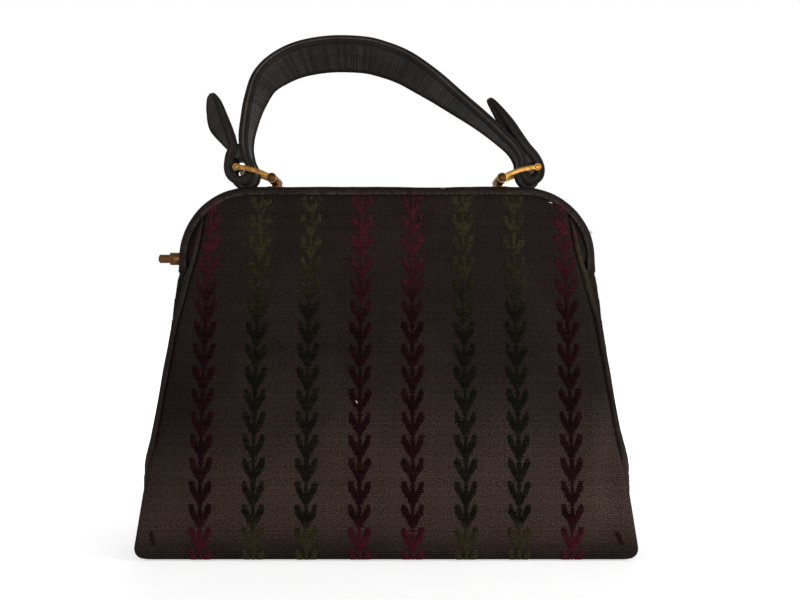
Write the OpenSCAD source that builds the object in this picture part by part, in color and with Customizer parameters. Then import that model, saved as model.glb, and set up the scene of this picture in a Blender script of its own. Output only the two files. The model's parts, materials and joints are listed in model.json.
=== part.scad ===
// Covered-frame handbag: trapezoid cloth body, hinged frame, strap handle on swinging shackles.
// Millimetres, +Z up, front is -Y, origin under the middle of the base.

/* [Body] */
// half of the front panel's width at the base
base_half = 145; // [120:1:165]
// half of the body's depth at the base
depth_half = 44; // [30:1:55]
// half of the depth under the frame
rim_half = 9.1; // [8:0.1:14]
// stiffened panel thickness
panel_t = 2.2; // [1.5:0.1:3]
// lining cloth thickness
lining_t = 0.8; // [0.6:0.1:1.5]
// gusset cloth thickness
gusset_t = 1.6; // [1:0.1:2.5]
// how far the gussets swell past the panel edges
gusset_swell = 7.5; // [3:0.5:12]

/* [Frame] */
// top of the covered frame
frame_top = 221; // [190:1:250]
// half of the frame's outer width
frame_half = 128; // [110:1:150]
// outer corner radius of the frame
corner_r = 45; // [24:1:48]
// depth of one frame half
frame_d = 10.8; // [9:0.1:14]
// height of the covered rim
rim_h = 5; // [4:0.1:7]
// cover cloth thickness
cover_t = 0.7; // [0.5:0.1:1]
// steel channel wall
steel_t = 0.9; // [0.7:0.1:1.2]
// how far the side seams sit inside the frame at the hinge line
seam_inset = 9; // [6:0.5:14]
// thickness of the cloth wings in the upper corners
wing_t = 1.2; // [0.8:0.1:2]
// height of the hinge and lock axis
hinge_z = 177; // [150:1:200]

/* [Leaf stripe] */
// distance between leaf columns
column_gap = 30.8; // [24:0.2:36]
// length of one leaf repeat along the cloth
leaf_pitch = 13.3; // [10:0.1:18]
// half width of a leaf pair
leaf_half = 6.6; // [4:0.2:9]
// height of the cut pile
pile_h = 0.7; // [0.3:0.1:1.2]

/* [Handle] */
// height of the crown's near edge over the frame
handle_rise = 95; // [75:1:105]
// strap width at the crown
strap_w = 29; // [22:1:34]
// strap width inside the shackles
loop_w = 26; // [20:1:30]
// strap thickness
strap_t = 3.6; // [2.5:0.1:5]
// how far the crown hangs to the rear
strap_lean = 18; // [0:1:26]
// roll of the strap at the crown
strap_roll = 30; // [0:1:40]

/* [Hardware] */
// lug pin distance from the middle
lug_x = 70; // [60:1:80]
// lug pin height above the frame
lug_h = 4.7; // [4.4:0.1:7]
// strap bar distance from the middle
bar_x = 91.6; // [85:0.2:100]
// strap bar height above the frame
bar_h = 11.3; // [9:0.1:14]
// strap bar radius
bar_r = 1.4; // [1:0.1:2]
// lug pin radius
pin_r = 1.6; // [1.2:0.1:2]
// lock collar radius
collar_r = 3.9; // [3.4:0.1:5]
// lock button radius
button_r = 2.65; // [2:0.05:3]
// lock button travel
button_travel = 3; // [1:0.5:4]

/* [Hidden] */
$fn = 64;
gap = 0.3;
run = 0.05;
leg_x = frame_half - corner_r;
leg_z = frame_top - corner_r;
panel_top = frame_top - rim_h - 0.1;
waist_half = frame_half - seam_inset;
split_z = hinge_z - 2;
lug_z = frame_top + lug_h;
bar_z = frame_top + bar_h;
swing_r = hinge_r(split_z) + 0.3 + pile_h;

// half depth of the body at a height
function half_depth(z) = rim_half + (depth_half - rim_half) * (1 - pow(min(max(z, 0), panel_top) / panel_top, 1.6));
function slope(z) = (half_depth(z - 1) - half_depth(z + 1)) / 2;
function hinge_r(z) = norm([half_depth(z), z - hinge_z]);
// half width of the front and rear panels at a height
function half_width(z) = base_half + (waist_half - base_half) * z / split_z;
// leaf rows are marched from the split line so that one row ends there
function step_z(z) = leaf_pitch * cos(atan(slope(z)));
function row_down(n) = n == 0 ? split_z : let (z = row_down(n - 1)) z - step_z(z - leaf_pitch / 2);
function row_up(n) = n == 0 ? split_z : let (z = row_up(n - 1)) z + step_z(z + leaf_pitch / 2);
low_rows = [for (n = [0 : 13]) if (row_down(n) > 9) row_down(n)];
top_rows = [for (n = [0 : 3]) if (row_up(n) < panel_top - 0.5) row_up(n)];

/* Shared shapes */

// turns a profile drawn as (depth, height) into a bar along X
module along_x(half) {
    translate([-half, 0, 0])
        rotate([90, 0, 90])
            linear_extrude(2 * half)
                children();
}

// turns a shape drawn in the front view into a block along Y
module along_y(from, to) {
    translate([0, to, 0])
        rotate([90, 0, 0])
            linear_extrude(to - from)
                children();
}

// front view of the space inside the frame, set in from its outside
module frame_view(inset) {
    union() {
        translate([-(frame_half - inset), hinge_z - 20])
            square([2 * (frame_half - inset), leg_z - hinge_z + 20]);
        translate([-leg_x, hinge_z - 20])
            square([2 * leg_x, frame_top - inset - hinge_z + 20]);
        for (side = [-1, 1])
            translate([side * leg_x, leg_z])
                circle(r = corner_r - inset);
    }
}

// carries a profile (outward, forward) round the inverted U of the frame
module along_frame(low) {
    translate([-leg_x, 0, leg_z])
        rotate([0, -90, 180])
            linear_extrude(2 * leg_x)
                translate([corner_r, 0])
                    children();
    translate([leg_x, 0, leg_z])
        rotate([90, 0, 0])
            rotate_extrude(angle = 90)
                translate([corner_r, 0])
                    children();
    translate([-leg_x, 0, leg_z])
        rotate([90, 0, 0])
            rotate([0, 0, 90])
                rotate_extrude(angle = 90)
                    translate([corner_r, 0])
                        children();
    translate([leg_x, 0, leg_z])
        rotate([180, 0, 0])
            linear_extrude(leg_z - low)
                translate([corner_r, 0])
                    children();
    translate([-leg_x, 0, low])
        rotate([0, 0, 180])
            linear_extrude(leg_z - low)
                translate([corner_r, 0])
                    children();
}

// room below the hinge that a swinging leg has to leave free
module leg_wedge() {
    along_x(frame_half + 2)
        polygon([[0, hinge_z], [-40, hinge_z - 46], [6, hinge_z - 46], [6, hinge_z]]);
}

module hinge_bore(from, to, r) {
    translate([from, 0, hinge_z])
        rotate([0, 90, 0])
            cylinder(r = r, h = to - from);
}

module rear() {
    mirror([0, 1, 0])
        children();
}

/* Body pieces */

function panel_points(zs, inset) = [for (z = zs) [-(half_depth(z) - inset), z]];
function reversed(list) = [for (i = [len(list) - 1 : -1 : 0]) list[i]];

// lower panel section: stiff wall with its bottom edge turned under
module low_profile(outer, inner, top, foot) {
    zs = concat([top], [for (z = low_rows) if (z < top - 1) z]);
    r = 7;
    y0 = half_depth(9) - outer;
    turn = [for (a = [15 : 25 : 90]) [-(y0 - r + r * cos(a)), foot + r - r * sin(a)]];
    back = [for (a = [90 : -25 : 15]) [-(y0 - r + (r - inner + outer) * cos(a)), foot + r - (r - inner + outer) * sin(a)]];
    polygon(concat(
        panel_points(zs, outer),
        turn,
        [[-(y0 - r - 4), foot], [-(y0 - r - 4), foot + inner - outer]],
        back,
        reversed(panel_points(zs, inner))));
}

module low_outline(inset) {
    r = 9;
    w = base_half - inset;
    union() {
        polygon([
            [-(half_width(r) - inset), r], [half_width(r) - inset, r],
            [half_width(hinge_z) - inset, hinge_z], [-(half_width(hinge_z) - inset), hinge_z]]);
        translate([-(w - r - 1), -2])
            square([2 * (w - r - 1), r + 4]);
        for (side = [-1, 1])
            translate([side * (w - r - 1), r])
                circle(r = r);
    }
}

module low_panel() {
    difference() {
        intersection() {
            along_x(base_half + 5)
                low_profile(0, panel_t, split_z, 0.4);
            along_y(-depth_half - 5, 0)
                low_outline(0);
        }
        hinge_bore(-base_half - 5, base_half + 5, swing_r);
    }
}

module front_panel() {
    color([0.2, 0.13, 0.1])
        low_panel();
}

module rear_panel() {
    color([0.2, 0.13, 0.1])
        rear()
            low_panel();
}

// upper panel section, with a tongue that goes up into the steel channel
module top_panel_body(outer, inner, low, tongue) {
    zs = concat([panel_top - 0.1], [for (z = reversed(top_rows)) if (z > low + 1 && z < panel_top - 1) z], [low]);
    intersection() {
        along_x(frame_half)
            polygon(concat(panel_points(zs, outer), reversed(panel_points(zs, inner))));
        along_y(-depth_half, 0)
            intersection() {
                frame_view(rim_h + 0.15);
                polygon([
                    [-(waist_half - 1.2), hinge_z - 4], [waist_half - 1.2, hinge_z - 4],
                    [waist_half - 8, panel_top], [-(waist_half - 8), panel_top]]);
            }
    }
    if (tongue > 0)
        translate([-leg_x + 2, -(rim_half - outer), panel_top - 0.5])
            cube([2 * leg_x - 4, inner - outer, tongue + 0.5]);
}

tongue_h = rim_h - cover_t - steel_t - 0.8;

module front_panel_top() {
    color([0.2, 0.13, 0.1])
        top_panel_body(0, panel_t, hinge_z - 3.5, tongue_h);
}

module rear_panel_top() {
    color([0.2, 0.13, 0.1])
        rear()
            top_panel_body(0, panel_t, hinge_z - 3.5, tongue_h);
}

module front_lining_top() {
    color([0.16, 0.08, 0.08])
        top_panel_body(panel_t + 0.1, panel_t + 0.1 + lining_t, hinge_z + 2, 0);
}

module rear_lining_top() {
    color([0.16, 0.08, 0.08])
        rear()
            top_panel_body(panel_t + 0.1, panel_t + 0.1 + lining_t, hinge_z + 2, 0);
}

// the pouch lining: an open cloth bag inside the panels
module lining_body(inset, top, foot) {
    zs = concat([top], [for (z = low_rows) if (z < top - 1 && z > foot + 6) z], [foot]);
    side = gusset_t + 0.6;
    intersection() {
        along_x(base_half)
            polygon(concat(
                panel_points(zs, inset),
                [for (z = reversed(zs)) [half_depth(z) - inset, z]]));
        along_y(-depth_half, depth_half)
            polygon([
                [-(half_width(foot) - inset - side), foot], [half_width(foot) - inset - side, foot],
                [half_width(top) - inset - side, top], [-(half_width(top) - inset - side), top]]);
    }
}

module lining() {
    inset = panel_t + gap;
    color([0.16, 0.08, 0.08])
        difference() {
            lining_body(inset, hinge_z - 16, 8);
            lining_body(inset + lining_t, hinge_z - 15, 8 + lining_t);
        }
}

module bottom_panel() {
    x = base_half - 5;
    y = depth_half - 11.6;
    color([0.2, 0.13, 0.1])
        translate([-x, -y, 0])
            cube([2 * x, 2 * y, 2.4]);
}

module bottom_board() {
    x = base_half - 7;
    y = depth_half - 12;
    color([0.45, 0.36, 0.26])
        translate([-x, -y, 2.9])
            cube([2 * x, 2 * y, 3]);
}

// gusset: cloth that swells outward between the panel edges, with a soft kink above the base
gusset_zs = [3, 10, 25, 40, 48, 54, 62, 75, 90, 110, 130, 148, hinge_z - 14];
function kink(z) = 2.4 * exp(-pow((z - 54) / 13, 2));
function swell(z) = gusset_swell * (0.35 + 0.65 * min(1, max(0, z - 3) / 36)) + kink(z);
function gusset_point(z, t, inset) =
    let (d = half_depth(max(z, 9)) - panel_t - 0.4, y = d * t)
    [half_width(z) - 2.2 + (swell(z) + 2.2) * (1 - pow(abs(t), 3)) - inset, y, z];

module gusset_body() {
    n = len(gusset_zs);
    m = 9;
    ts = [for (j = [0 : m - 1]) -1 + 2 * j / (m - 1)];
    outer = [for (z = gusset_zs) for (t = ts) gusset_point(z, t, 0)];
    inner = [for (z = gusset_zs) for (t = ts) gusset_point(z, t, gusset_t)];
    k = n * m;
    quads = concat(
        [for (i = [0 : n - 2]) for (j = [0 : m - 2]) [i * m + j, i * m + j + 1, (i + 1) * m + j + 1, (i + 1) * m + j]],
        [for (i = [0 : n - 2]) for (j = [0 : m - 2])
            [k + i * m + j, k + (i + 1) * m + j, k + (i + 1) * m + j + 1, k + i * m + j + 1]],
        [for (j = [0 : m - 2]) [j, k + j, k + j + 1, j + 1]],
        [for (j = [0 : m - 2]) let (b = (n - 1) * m) [b + j, b + j + 1, k + b + j + 1, k + b + j]],
        [for (i = [0 : n - 2]) [i * m, (i + 1) * m, k + (i + 1) * m, k + i * m]],
        [for (i = [0 : n - 2]) let (e = m - 1) [i * m + e, k + i * m + e, k + (i + 1) * m + e, (i + 1) * m + e]]);
    polyhedron(
        points = concat(outer, inner),
        faces = [for (q = quads) each [[q[2], q[1], q[0]], [q[3], q[2], q[0]]]]);
}

module right_gusset() {
    color([0.17, 0.12, 0.09])
        gusset_body();
}

module left_gusset() {
    color([0.17, 0.12, 0.09])
        mirror([1, 0, 0])
            gusset_body();
}

// welt along one side seam
module welt() {
    r = 1.25;
    zs = concat([hinge_z - 6], [for (z = low_rows) if (z < hinge_z - 12) z]);
    spots = [for (z = zs) [half_width(z) + r + 0.1, -(half_depth(z) - r - 0.2), z]];
    n = len(spots);
    m = 8;
    points = [for (p = spots) for (a = [0 : m - 1]) p + r * [cos(a * 360 / m), sin(a * 360 / m), 0]];
    faces = concat(
        [[for (a = [0 : m - 1]) a]],
        [for (i = [0 : n - 2]) for (a = [0 : m - 1]) let (b = (a + 1) % m)
            each [[i * m + a, (i + 1) * m + a, (i + 1) * m + b], [i * m + a, (i + 1) * m + b, i * m + b]]],
        [[for (a = [m - 1 : -1 : 0]) (n - 1) * m + a]]);
    polyhedron(points = points, faces = [for (f = faces) reversed(f)]);
}

module front_right_piping() {
    color([0.14, 0.1, 0.08])
        welt();
}

module front_left_piping() {
    color([0.14, 0.1, 0.08])
        mirror([1, 0, 0])
            welt();
}

module rear_right_piping() {
    color([0.14, 0.1, 0.08])
        rear()
            welt();
}

module rear_left_piping() {
    color([0.14, 0.1, 0.08])
        rear()
            mirror([1, 0, 0])
                welt();
}

/* Leaf stripe: raised pile of the figured cloth */

// leaf pair seen from the front; the stem runs up to the next pair
module leaf_view(stem) {
    h = leaf_pitch - gap;
    w = leaf_half;
    right = [
        [0.14, 0.02], [0.5, 0.06], [0.8, 0.24], [0.97, 0.48], [1, 0.82],
        [0.76, 0.68], [0.52, 0.56], [0.3, 0.6], [0.13, 0.48], [0.11, stem]];
    polygon(concat(
        [for (p = right) [p[0] * w, p[1] * h]],
        [for (p = reversed(right)) [-p[0] * w, p[1] * h]]));
}

// one leaf pair laid on the facet between two row heights
module leaf_at(x, low, high, stem) {
    a = [-half_depth(low), low];
    b = [-half_depth(high), high];
    lean = atan2(b[0] - a[0], b[1] - a[1]);
    translate([x, a[0], a[1]])
        rotate([90 - lean, 0, 0])
            translate([0, gap / 2, 0])
                linear_extrude(pile_h)
                    leaf_view(stem);
}

// highest row that still fits under the frame in a column
function row_limit(x) = abs(x) > leg_x ? leg_z + 18 : panel_top;

module leaf_rows(zs, xs, short_from) {
    for (x = xs)
        for (i = [0 : len(zs) - 2])
            let (low = min(zs[i], zs[i + 1]), high = max(zs[i], zs[i + 1]))
                if (high < row_limit(x))
                    leaf_at(x, low, high, high > short_from ? 0.8 : 1);
}

red_x = [for (s = [-1, 1]) for (n = [0.5, 3.5]) s * n * column_gap];
green_x = [for (s = [-1, 1]) for (n = [1.5, 2.5]) s * n * column_gap];

module front_leaves_red() {
    color([0.42, 0.06, 0.12])
        leaf_rows(low_rows, red_x, hinge_z - 4);
}

module front_leaves_green() {
    color([0.3, 0.28, 0.08])
        leaf_rows(low_rows, green_x, hinge_z - 4);
}

module rear_leaves_red() {
    color([0.42, 0.06, 0.12])
        rear()
            leaf_rows(low_rows, red_x, hinge_z - 4);
}

module rear_leaves_green() {
    color([0.3, 0.28, 0.08])
        rear()
            leaf_rows(low_rows, green_x, hinge_z - 4);
}

module front_top_leaves_red() {
    color([0.42, 0.06, 0.12])
        leaf_rows(top_rows, red_x, frame_top);
}

module front_top_leaves_green() {
    color([0.3, 0.28, 0.08])
        leaf_rows(top_rows, green_x, frame_top);
}

module rear_top_leaves_red() {
    color([0.42, 0.06, 0.12])
        rear()
            leaf_rows(top_rows, red_x, frame_top);
}

module rear_top_leaves_green() {
    color([0.3, 0.28, 0.08])
        rear()
            leaf_rows(top_rows, green_x, frame_top);
}

/* Frame */

// section of one frame half, set in from its outside; x is outward, y is forward
module rim_block(inset, deep) {
    r = 2.6 - inset;
    front = frame_d - inset;
    back = gap + inset;
    union() {
        translate([-rim_h - deep, back])
            square([rim_h + deep - inset, front - back - r]);
        translate([-rim_h - deep, front - r - 0.01])
            square([rim_h + deep - inset - r, r + 0.01]);
        translate([-inset - r, front - r])
            circle(r = r);
    }
}

module cover_half() {
    difference() {
        along_frame(hinge_z - 8)
            difference() {
                rim_block(0, 0);
                rim_block(cover_t, 1);
            }
        leg_wedge();
        hinge_bore(-frame_half - 1, -frame_half + rim_h + 1, 3.65);
        hinge_bore(frame_half - rim_h - 1, frame_half - cover_t - 0.5, 4.9);
    }
}

// eye plate that carries the pivot, on both legs
module hinge_eye(from, to, bore) {
    for (side = [0, 1])
        mirror([side, 0, 0])
            difference() {
                union() {
                    hinge_bore(from, to, 6);
                    translate([from, -6.8, hinge_z])
                        cube([to - from, 5.8, 14]);
                    intersection() {
                        translate([from, -6.8, hinge_z + 7])
                            cube([frame_half - cover_t - 0.3 - from, 3.8, 7]);
                        along_y(-7, -2)
                            frame_view(cover_t + 0.3);
                    }
                }
                hinge_bore(from - 1, to + 1, bore);
            }
}

module steel_half(from, to, bore) {
    wall = cover_t + run;
    difference() {
        along_frame(hinge_z - 7.5)
            difference() {
                rim_block(wall, 0);
                rim_block(wall + steel_t, 1);
            }
        leg_wedge();
        hinge_bore(-frame_half - 1, -frame_half + rim_h + 1, 3.65);
        hinge_bore(frame_half - rim_h - 1, frame_half - cover_t - 0.5, 4.9);
    }
    hinge_eye(from, to, bore);
}

eye_in = frame_half - rim_h - 5.1;
neck_r = 3.3;

module front_frame() {
    color([0.62, 0.62, 0.6])
        steel_half(eye_in, eye_in + 1.5, neck_r + run);
}

module rear_frame() {
    color([0.62, 0.62, 0.6])
        rear()
            steel_half(eye_in + 1.8, eye_in + 3.3, neck_r + 0.02);
}

module front_frame_cover() {
    color([0.12, 0.1, 0.09])
        cover_half();
}

module rear_frame_cover() {
    color([0.12, 0.1, 0.09])
        rear()
            cover_half();
}

// cloth wing between the panel edge and the frame leg
module wing() {
    front = rim_half - 0.5;
    low = hinge_z - rim_h - 1;
    along_y(-front, -front + wing_t)
        intersection() {
            frame_view(rim_h + 0.2);
            polygon([
                [waist_half - 7, low], [frame_half, low], [frame_half, leg_z + 0.22 * corner_r],
                [waist_half - 6, leg_z + 0.53 * corner_r], [waist_half - 11, leg_z + 0.47 * corner_r]]);
        }
}

module front_right_wing() {
    color([0.14, 0.1, 0.08])
        wing();
}

module front_left_wing() {
    color([0.14, 0.1, 0.08])
        mirror([1, 0, 0])
            wing();
}

module rear_right_wing() {
    color([0.14, 0.1, 0.08])
        rear()
            wing();
}

module rear_left_wing() {
    color([0.14, 0.1, 0.08])
        rear()
            mirror([1, 0, 0])
                wing();
}

/* Lock and hinge hardware */

bush_out = frame_half + 6.7;
bush_in = eye_in - 1.6;

module lock_bush() {
    color([0.66, 0.45, 0.18])
        difference() {
            union() {
                hinge_bore(-bush_out, -frame_half - 0.4, collar_r);
                hinge_bore(-bush_out, -bush_in, neck_r);
                hinge_bore(-eye_in + 0.2, -bush_in, 5);
            }
            hinge_bore(-bush_out - 1, -bush_in - 2, button_r + run);
            hinge_bore(-bush_out - 1, -bush_in + 1, 1.35);
        }
}

button_tip = bush_out + button_travel + 4.7;
button_step = bush_in + 2 * button_travel + 4;

module lock_button() {
    dome = 1.2;
    color([0.7, 0.5, 0.2])
        union() {
            hinge_bore(-button_tip + dome, -button_step, button_r);
            translate([-button_tip + dome, 0, hinge_z])
                intersection() {
                    translate([button_r * 1.05, 0, 0])
                        sphere(r = button_r * 1.45);
                    translate([-5, -button_r, -button_r])
                        cube([5.2, 2 * button_r, 2 * button_r]);
                    rotate([0, 90, 0])
                        translate([0, 0, -5])
                            cylinder(r = button_r, h = 6);
                }
            hinge_bore(-button_step - 0.5, -bush_in + 1.6, 1.25);
        }
}

module lock_clip() {
    color([0.55, 0.55, 0.55])
        difference() {
            hinge_bore(-bush_in + 0.3, -bush_in + 1.1, 2.6);
            hinge_bore(-bush_in, -bush_in + 2, 1.25);
        }
}

// return spring drawn as rings along its coil
module lock_spring() {
    from = bush_in + 2.3;
    to = button_step - 0.4;
    turns = 6;
    color([0.6, 0.6, 0.62])
        for (i = [0 : turns - 1])
            translate([-from - (to - from) * (i + 0.5) / turns, 0, hinge_z])
                rotate([0, 90, 0])
                    rotate_extrude()
                        translate([2, 0])
                            circle(r = 0.3, $fn = 16);
}

module hinge_rivet() {
    color([0.6, 0.6, 0.6])
        union() {
            hinge_bore(eye_in - 0.2 - 1.2, eye_in - 0.2, 4.6);
            hinge_bore(eye_in - 0.3, eye_in + 3.6, neck_r);
            hinge_bore(eye_in + 3.5, eye_in + 4.6, 4.4);
        }
}

/* Lugs, pins, shackles */

module along_pin(x, z, from, to, r) {
    translate([x, to, z])
        rotate([90, 0, 0])
            cylinder(r = r, h = to - from);
}

link_in = loop_w / 2 + 0.8;
link_t = 1.6;

module lug() {
    barrel_r = lug_h - 1.6;
    color([0.78, 0.56, 0.22])
        difference() {
            union() {
                translate([lug_x - 5, 1.6, frame_top])
                    cube([10, frame_d - 4.4, 1.4]);
                translate([lug_x - 2, 2.2, frame_top + 1])
                    cube([4, frame_d - 5.6, lug_h - 1]);
                along_pin(lug_x, lug_z, -link_in + 0.3, link_in - 0.3, barrel_r);
            }
            along_pin(lug_x, lug_z, -link_in - 1, link_in + 1, pin_r);
        }
}

module right_lug() {
    lug();
}

module left_lug() {
    mirror([1, 0, 0])
        lug();
}

module lug_pin() {
    end = link_in + link_t + 0.6;
    color([0.7, 0.5, 0.2])
        union() {
            along_pin(lug_x, lug_z, -end, end, pin_r);
            for (side = [-1, 1])
                along_pin(lug_x, lug_z, side * end - 0.35, side * end + 0.35, pin_r + 0.9);
        }
}

module right_lug_pin() {
    lug_pin();
}

module left_lug_pin() {
    mirror([1, 0, 0])
        lug_pin();
}

// flat link: two eyes and a lightly arched strip between them
module front_link() {
    run_x = bar_x - lug_x;
    run_z = bar_z - lug_z;
    l = norm([run_x, run_z]);
    rise = [for (t = [0.08 : 0.12 : 0.93]) [l * t, 1.3 * (1 - pow(2 * t - 1, 2))]];
    half = 1.5;
    color([0.8, 0.58, 0.24])
        difference() {
            union() {
                along_y(-link_in - link_t, -link_in)
                    translate([lug_x, lug_z])
                        rotate(atan2(run_z, run_x))
                            polygon(concat(
                                [for (p = rise) p + [0, half]],
                                [for (p = reversed(rise)) p - [0, half]]));
                along_pin(lug_x, lug_z, -link_in - link_t, -link_in, 3.1);
                along_pin(bar_x, bar_z, -link_in - link_t, -link_in, 2.3);
            }
            along_pin(lug_x, lug_z, -link_in - link_t - 1, -link_in + 1, pin_r + run);
            along_pin(bar_x, bar_z, -link_in - link_t - 1, -link_in + 1, bar_r);
        }
}

module right_front_link() {
    front_link();
}

module right_rear_link() {
    rear()
        front_link();
}

module left_front_link() {
    mirror([1, 0, 0])
        front_link();
}

module left_rear_link() {
    mirror([1, 0, 0])
        rear()
            front_link();
}

module strap_bar() {
    end = link_in + link_t + 0.5;
    color([0.8, 0.58, 0.24])
        along_pin(bar_x, bar_z, -end, end, bar_r);
}

module right_strap_bar() {
    strap_bar();
}

module left_strap_bar() {
    mirror([1, 0, 0])
        strap_bar();
}

/* Handle strap */

// near edge of the strap from tab tip to tab tip: x, height over the frame, width factor, roll,
// drawn for a bar at 91.6 and a rise of 92
strap_draft = [
    [-110.7, 58.2, 0.12, 28], [-109.7, 56.6, 0.5, 28], [-107.2, 51.4, 0.78, 28], [-101.8, 40.6, 0.95, 25],
    [-95.8, 29.5, 1, 14], [-94, 23.5, 1, 5], [-96.6, 17.5, 1, 0], [-97.6, 11, 1, 0],
    [-96.4, 5.8, 1, 0], [-92.4, 2.4, 1, 0], [-87.2, 2.4, 1, 0], [-83.4, 5.6, 1, 0],
    [-82.9, 11, 1, 0], [-85.6, 17.5, 1, 0], [-87.4, 24, 1, 0], [-87.6, 31, 1.02, 1],
    [-86.6, 41, 1.04, 4], [-84.6, 54, 1.08, 10], [-80.6, 68.4, 1.12, 18], [-71.8, 79, 1.12, 24],
    [-57, 87.6, 1.12, 28], [-36, 92, 1.12, 30], [-14.6, 91.3, 1.12, 30], [0, 87.6, 1.12, 29],
    [14, 80.8, 1.12, 27], [29, 69.8, 1.11, 23], [45, 56.8, 1.09, 16], [60.5, 43.6, 1.06, 9],
    [72.6, 32.6, 1.04, 3], [79.4, 24.6, 1.01, 0], [81.9, 17.5, 1, 0], [82.2, 11, 1, 0],
    [83.2, 5.8, 1, 0], [86.6, 2.4, 1, 0], [91, 2.4, 1, 0], [94.6, 5.6, 1, 0],
    [95.4, 11, 1, 0], [93, 17.6, 1, 0], [86.6, 24.6, 1, 0], [82.2, 31, 0.96, 0],
    [76.6, 39.5, 0.9, 0], [70.6, 47.6, 0.78, 0], [65.6, 54.4, 0.54, 0], [64, 56.6, 0.14, 0]];

function spline(a, b, c, d, t) =
    0.5 * (2 * b + (c - a) * t + (2 * a - 5 * b + 4 * c - d) * t * t + (3 * b - 3 * c + d - a) * t * t * t);
strap_path = [for (p = strap_draft)
    [p[0] * bar_x / 91.6, p[1] + (handle_rise - 92) * max(0, p[1] - 18) / 74, p[2], p[3]]];
path_n = len(strap_path);
function path_at(i) = strap_path[min(max(i, 0), path_n - 1)];
strap_line = concat(
    [for (i = [0 : path_n - 2]) for (t = [0, 0.5]) spline(path_at(i - 1), path_at(i), path_at(i + 1), path_at(i + 2), t)],
    [strap_path[path_n - 1]]);
lean_from = 0.29 * handle_rise;
function lean_at(i, h) =
    i > 30 && i < 58 ? strap_lean * pow(max(0, h - lean_from) / (handle_rise - lean_from), 2) : 0;

function strap_ring(i) =
    let (
        n = len(strap_line),
        p = strap_line[i],
        q = strap_line[min(i + 1, n - 1)] - strap_line[max(i - 1, 0)],
        l = norm([q[0], q[1]]),
        across = [-q[1] / l, 0, q[0] / l],
        roll = p[3] * strap_roll / 30,
        wide = [0, cos(roll), 0] - sin(roll) * across,
        thick = cos(roll) * across + [0, sin(roll), 0],
        w = p[2] * loop_w * (p[2] > 1 ? 1 + (strap_w / loop_w / 1.12 - 1) * (p[2] - 1) / 0.12 : 1) / 2,
        t = strap_t / 2,
        c = min(0.9, w / 3),
        mid = [p[0], lean_at(i, p[1]), frame_top + p[1]] - w * sin(roll) * across)
    [for (s = [
        [-w, c - t], [c - w, -t], [w - c, -t], [w, c - t],
        [w, t - c], [w - c, t], [c - w, t], [-w, t - c]])
        mid + s[0] * wide + s[1] * thick];

// sewn joint that holds a folded strap end to the strap above a shackle
module sewn_bridge(a, b, c, d) {
    in = 0.12 * strap_t;
    translate([0, loop_w / 2 - 2.5, frame_top])
        rotate([90, 0, 0])
            linear_extrude(height = loop_w - 5)
                polygon([
                    [a[0] + in, a[1] + 2.2], [b[0] - in, b[1] + 2.2],
                    [c[0] - in, c[1] + 0.6], [d[0] + in, d[1] + 0.6]]);
}

module handle_strap() {
    n = len(strap_line);
    m = 8;
    points = [for (i = [0 : n - 1]) each strap_ring(i)];
    faces = concat(
        [[for (a = [0 : m - 1]) a]],
        [for (i = [0 : n - 2]) for (a = [0 : m - 1]) let (b = (a + 1) % m)
            each [[i * m + a, (i + 1) * m + a, (i + 1) * m + b], [i * m + a, (i + 1) * m + b, i * m + b]]],
        [[for (a = [m - 1 : -1 : 0]) (n - 1) * m + a]]);
    color([0.09, 0.08, 0.08])
        union() {
            polyhedron(points = points, faces = faces);
            sewn_bridge(strap_path[5], strap_path[14], strap_path[13], strap_path[6]);
            sewn_bridge(strap_path[29], strap_path[38], strap_path[37], strap_path[30]);
        }
}

front_panel();
rear_panel();
left_gusset();
right_gusset();
bottom_panel();
bottom_board();
lining();
front_left_piping();
front_right_piping();
rear_left_piping();
rear_right_piping();
front_leaves_red();
front_leaves_green();
rear_leaves_red();
rear_leaves_green();
front_frame();
front_frame_cover();
front_panel_top();
front_lining_top();
front_left_wing();
front_right_wing();
front_top_leaves_red();
front_top_leaves_green();
rear_frame();
rear_frame_cover();
rear_panel_top();
rear_lining_top();
rear_left_wing();
rear_right_wing();
rear_top_leaves_red();
rear_top_leaves_green();
left_lug();
right_lug();
left_lug_pin();
right_lug_pin();
lock_bush();
hinge_rivet();
lock_spring();
lock_button();
lock_clip();
left_front_link();
left_rear_link();
left_strap_bar();
right_front_link();
right_rear_link();
right_strap_bar();
handle_strap();
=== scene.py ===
"""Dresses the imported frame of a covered-frame handbag: cloth body, cut-pile leaf stripes, strap and brass.

Every length is in metres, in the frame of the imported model: +Z up, the front is -Y.
"""

import json
import math
import random

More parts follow.
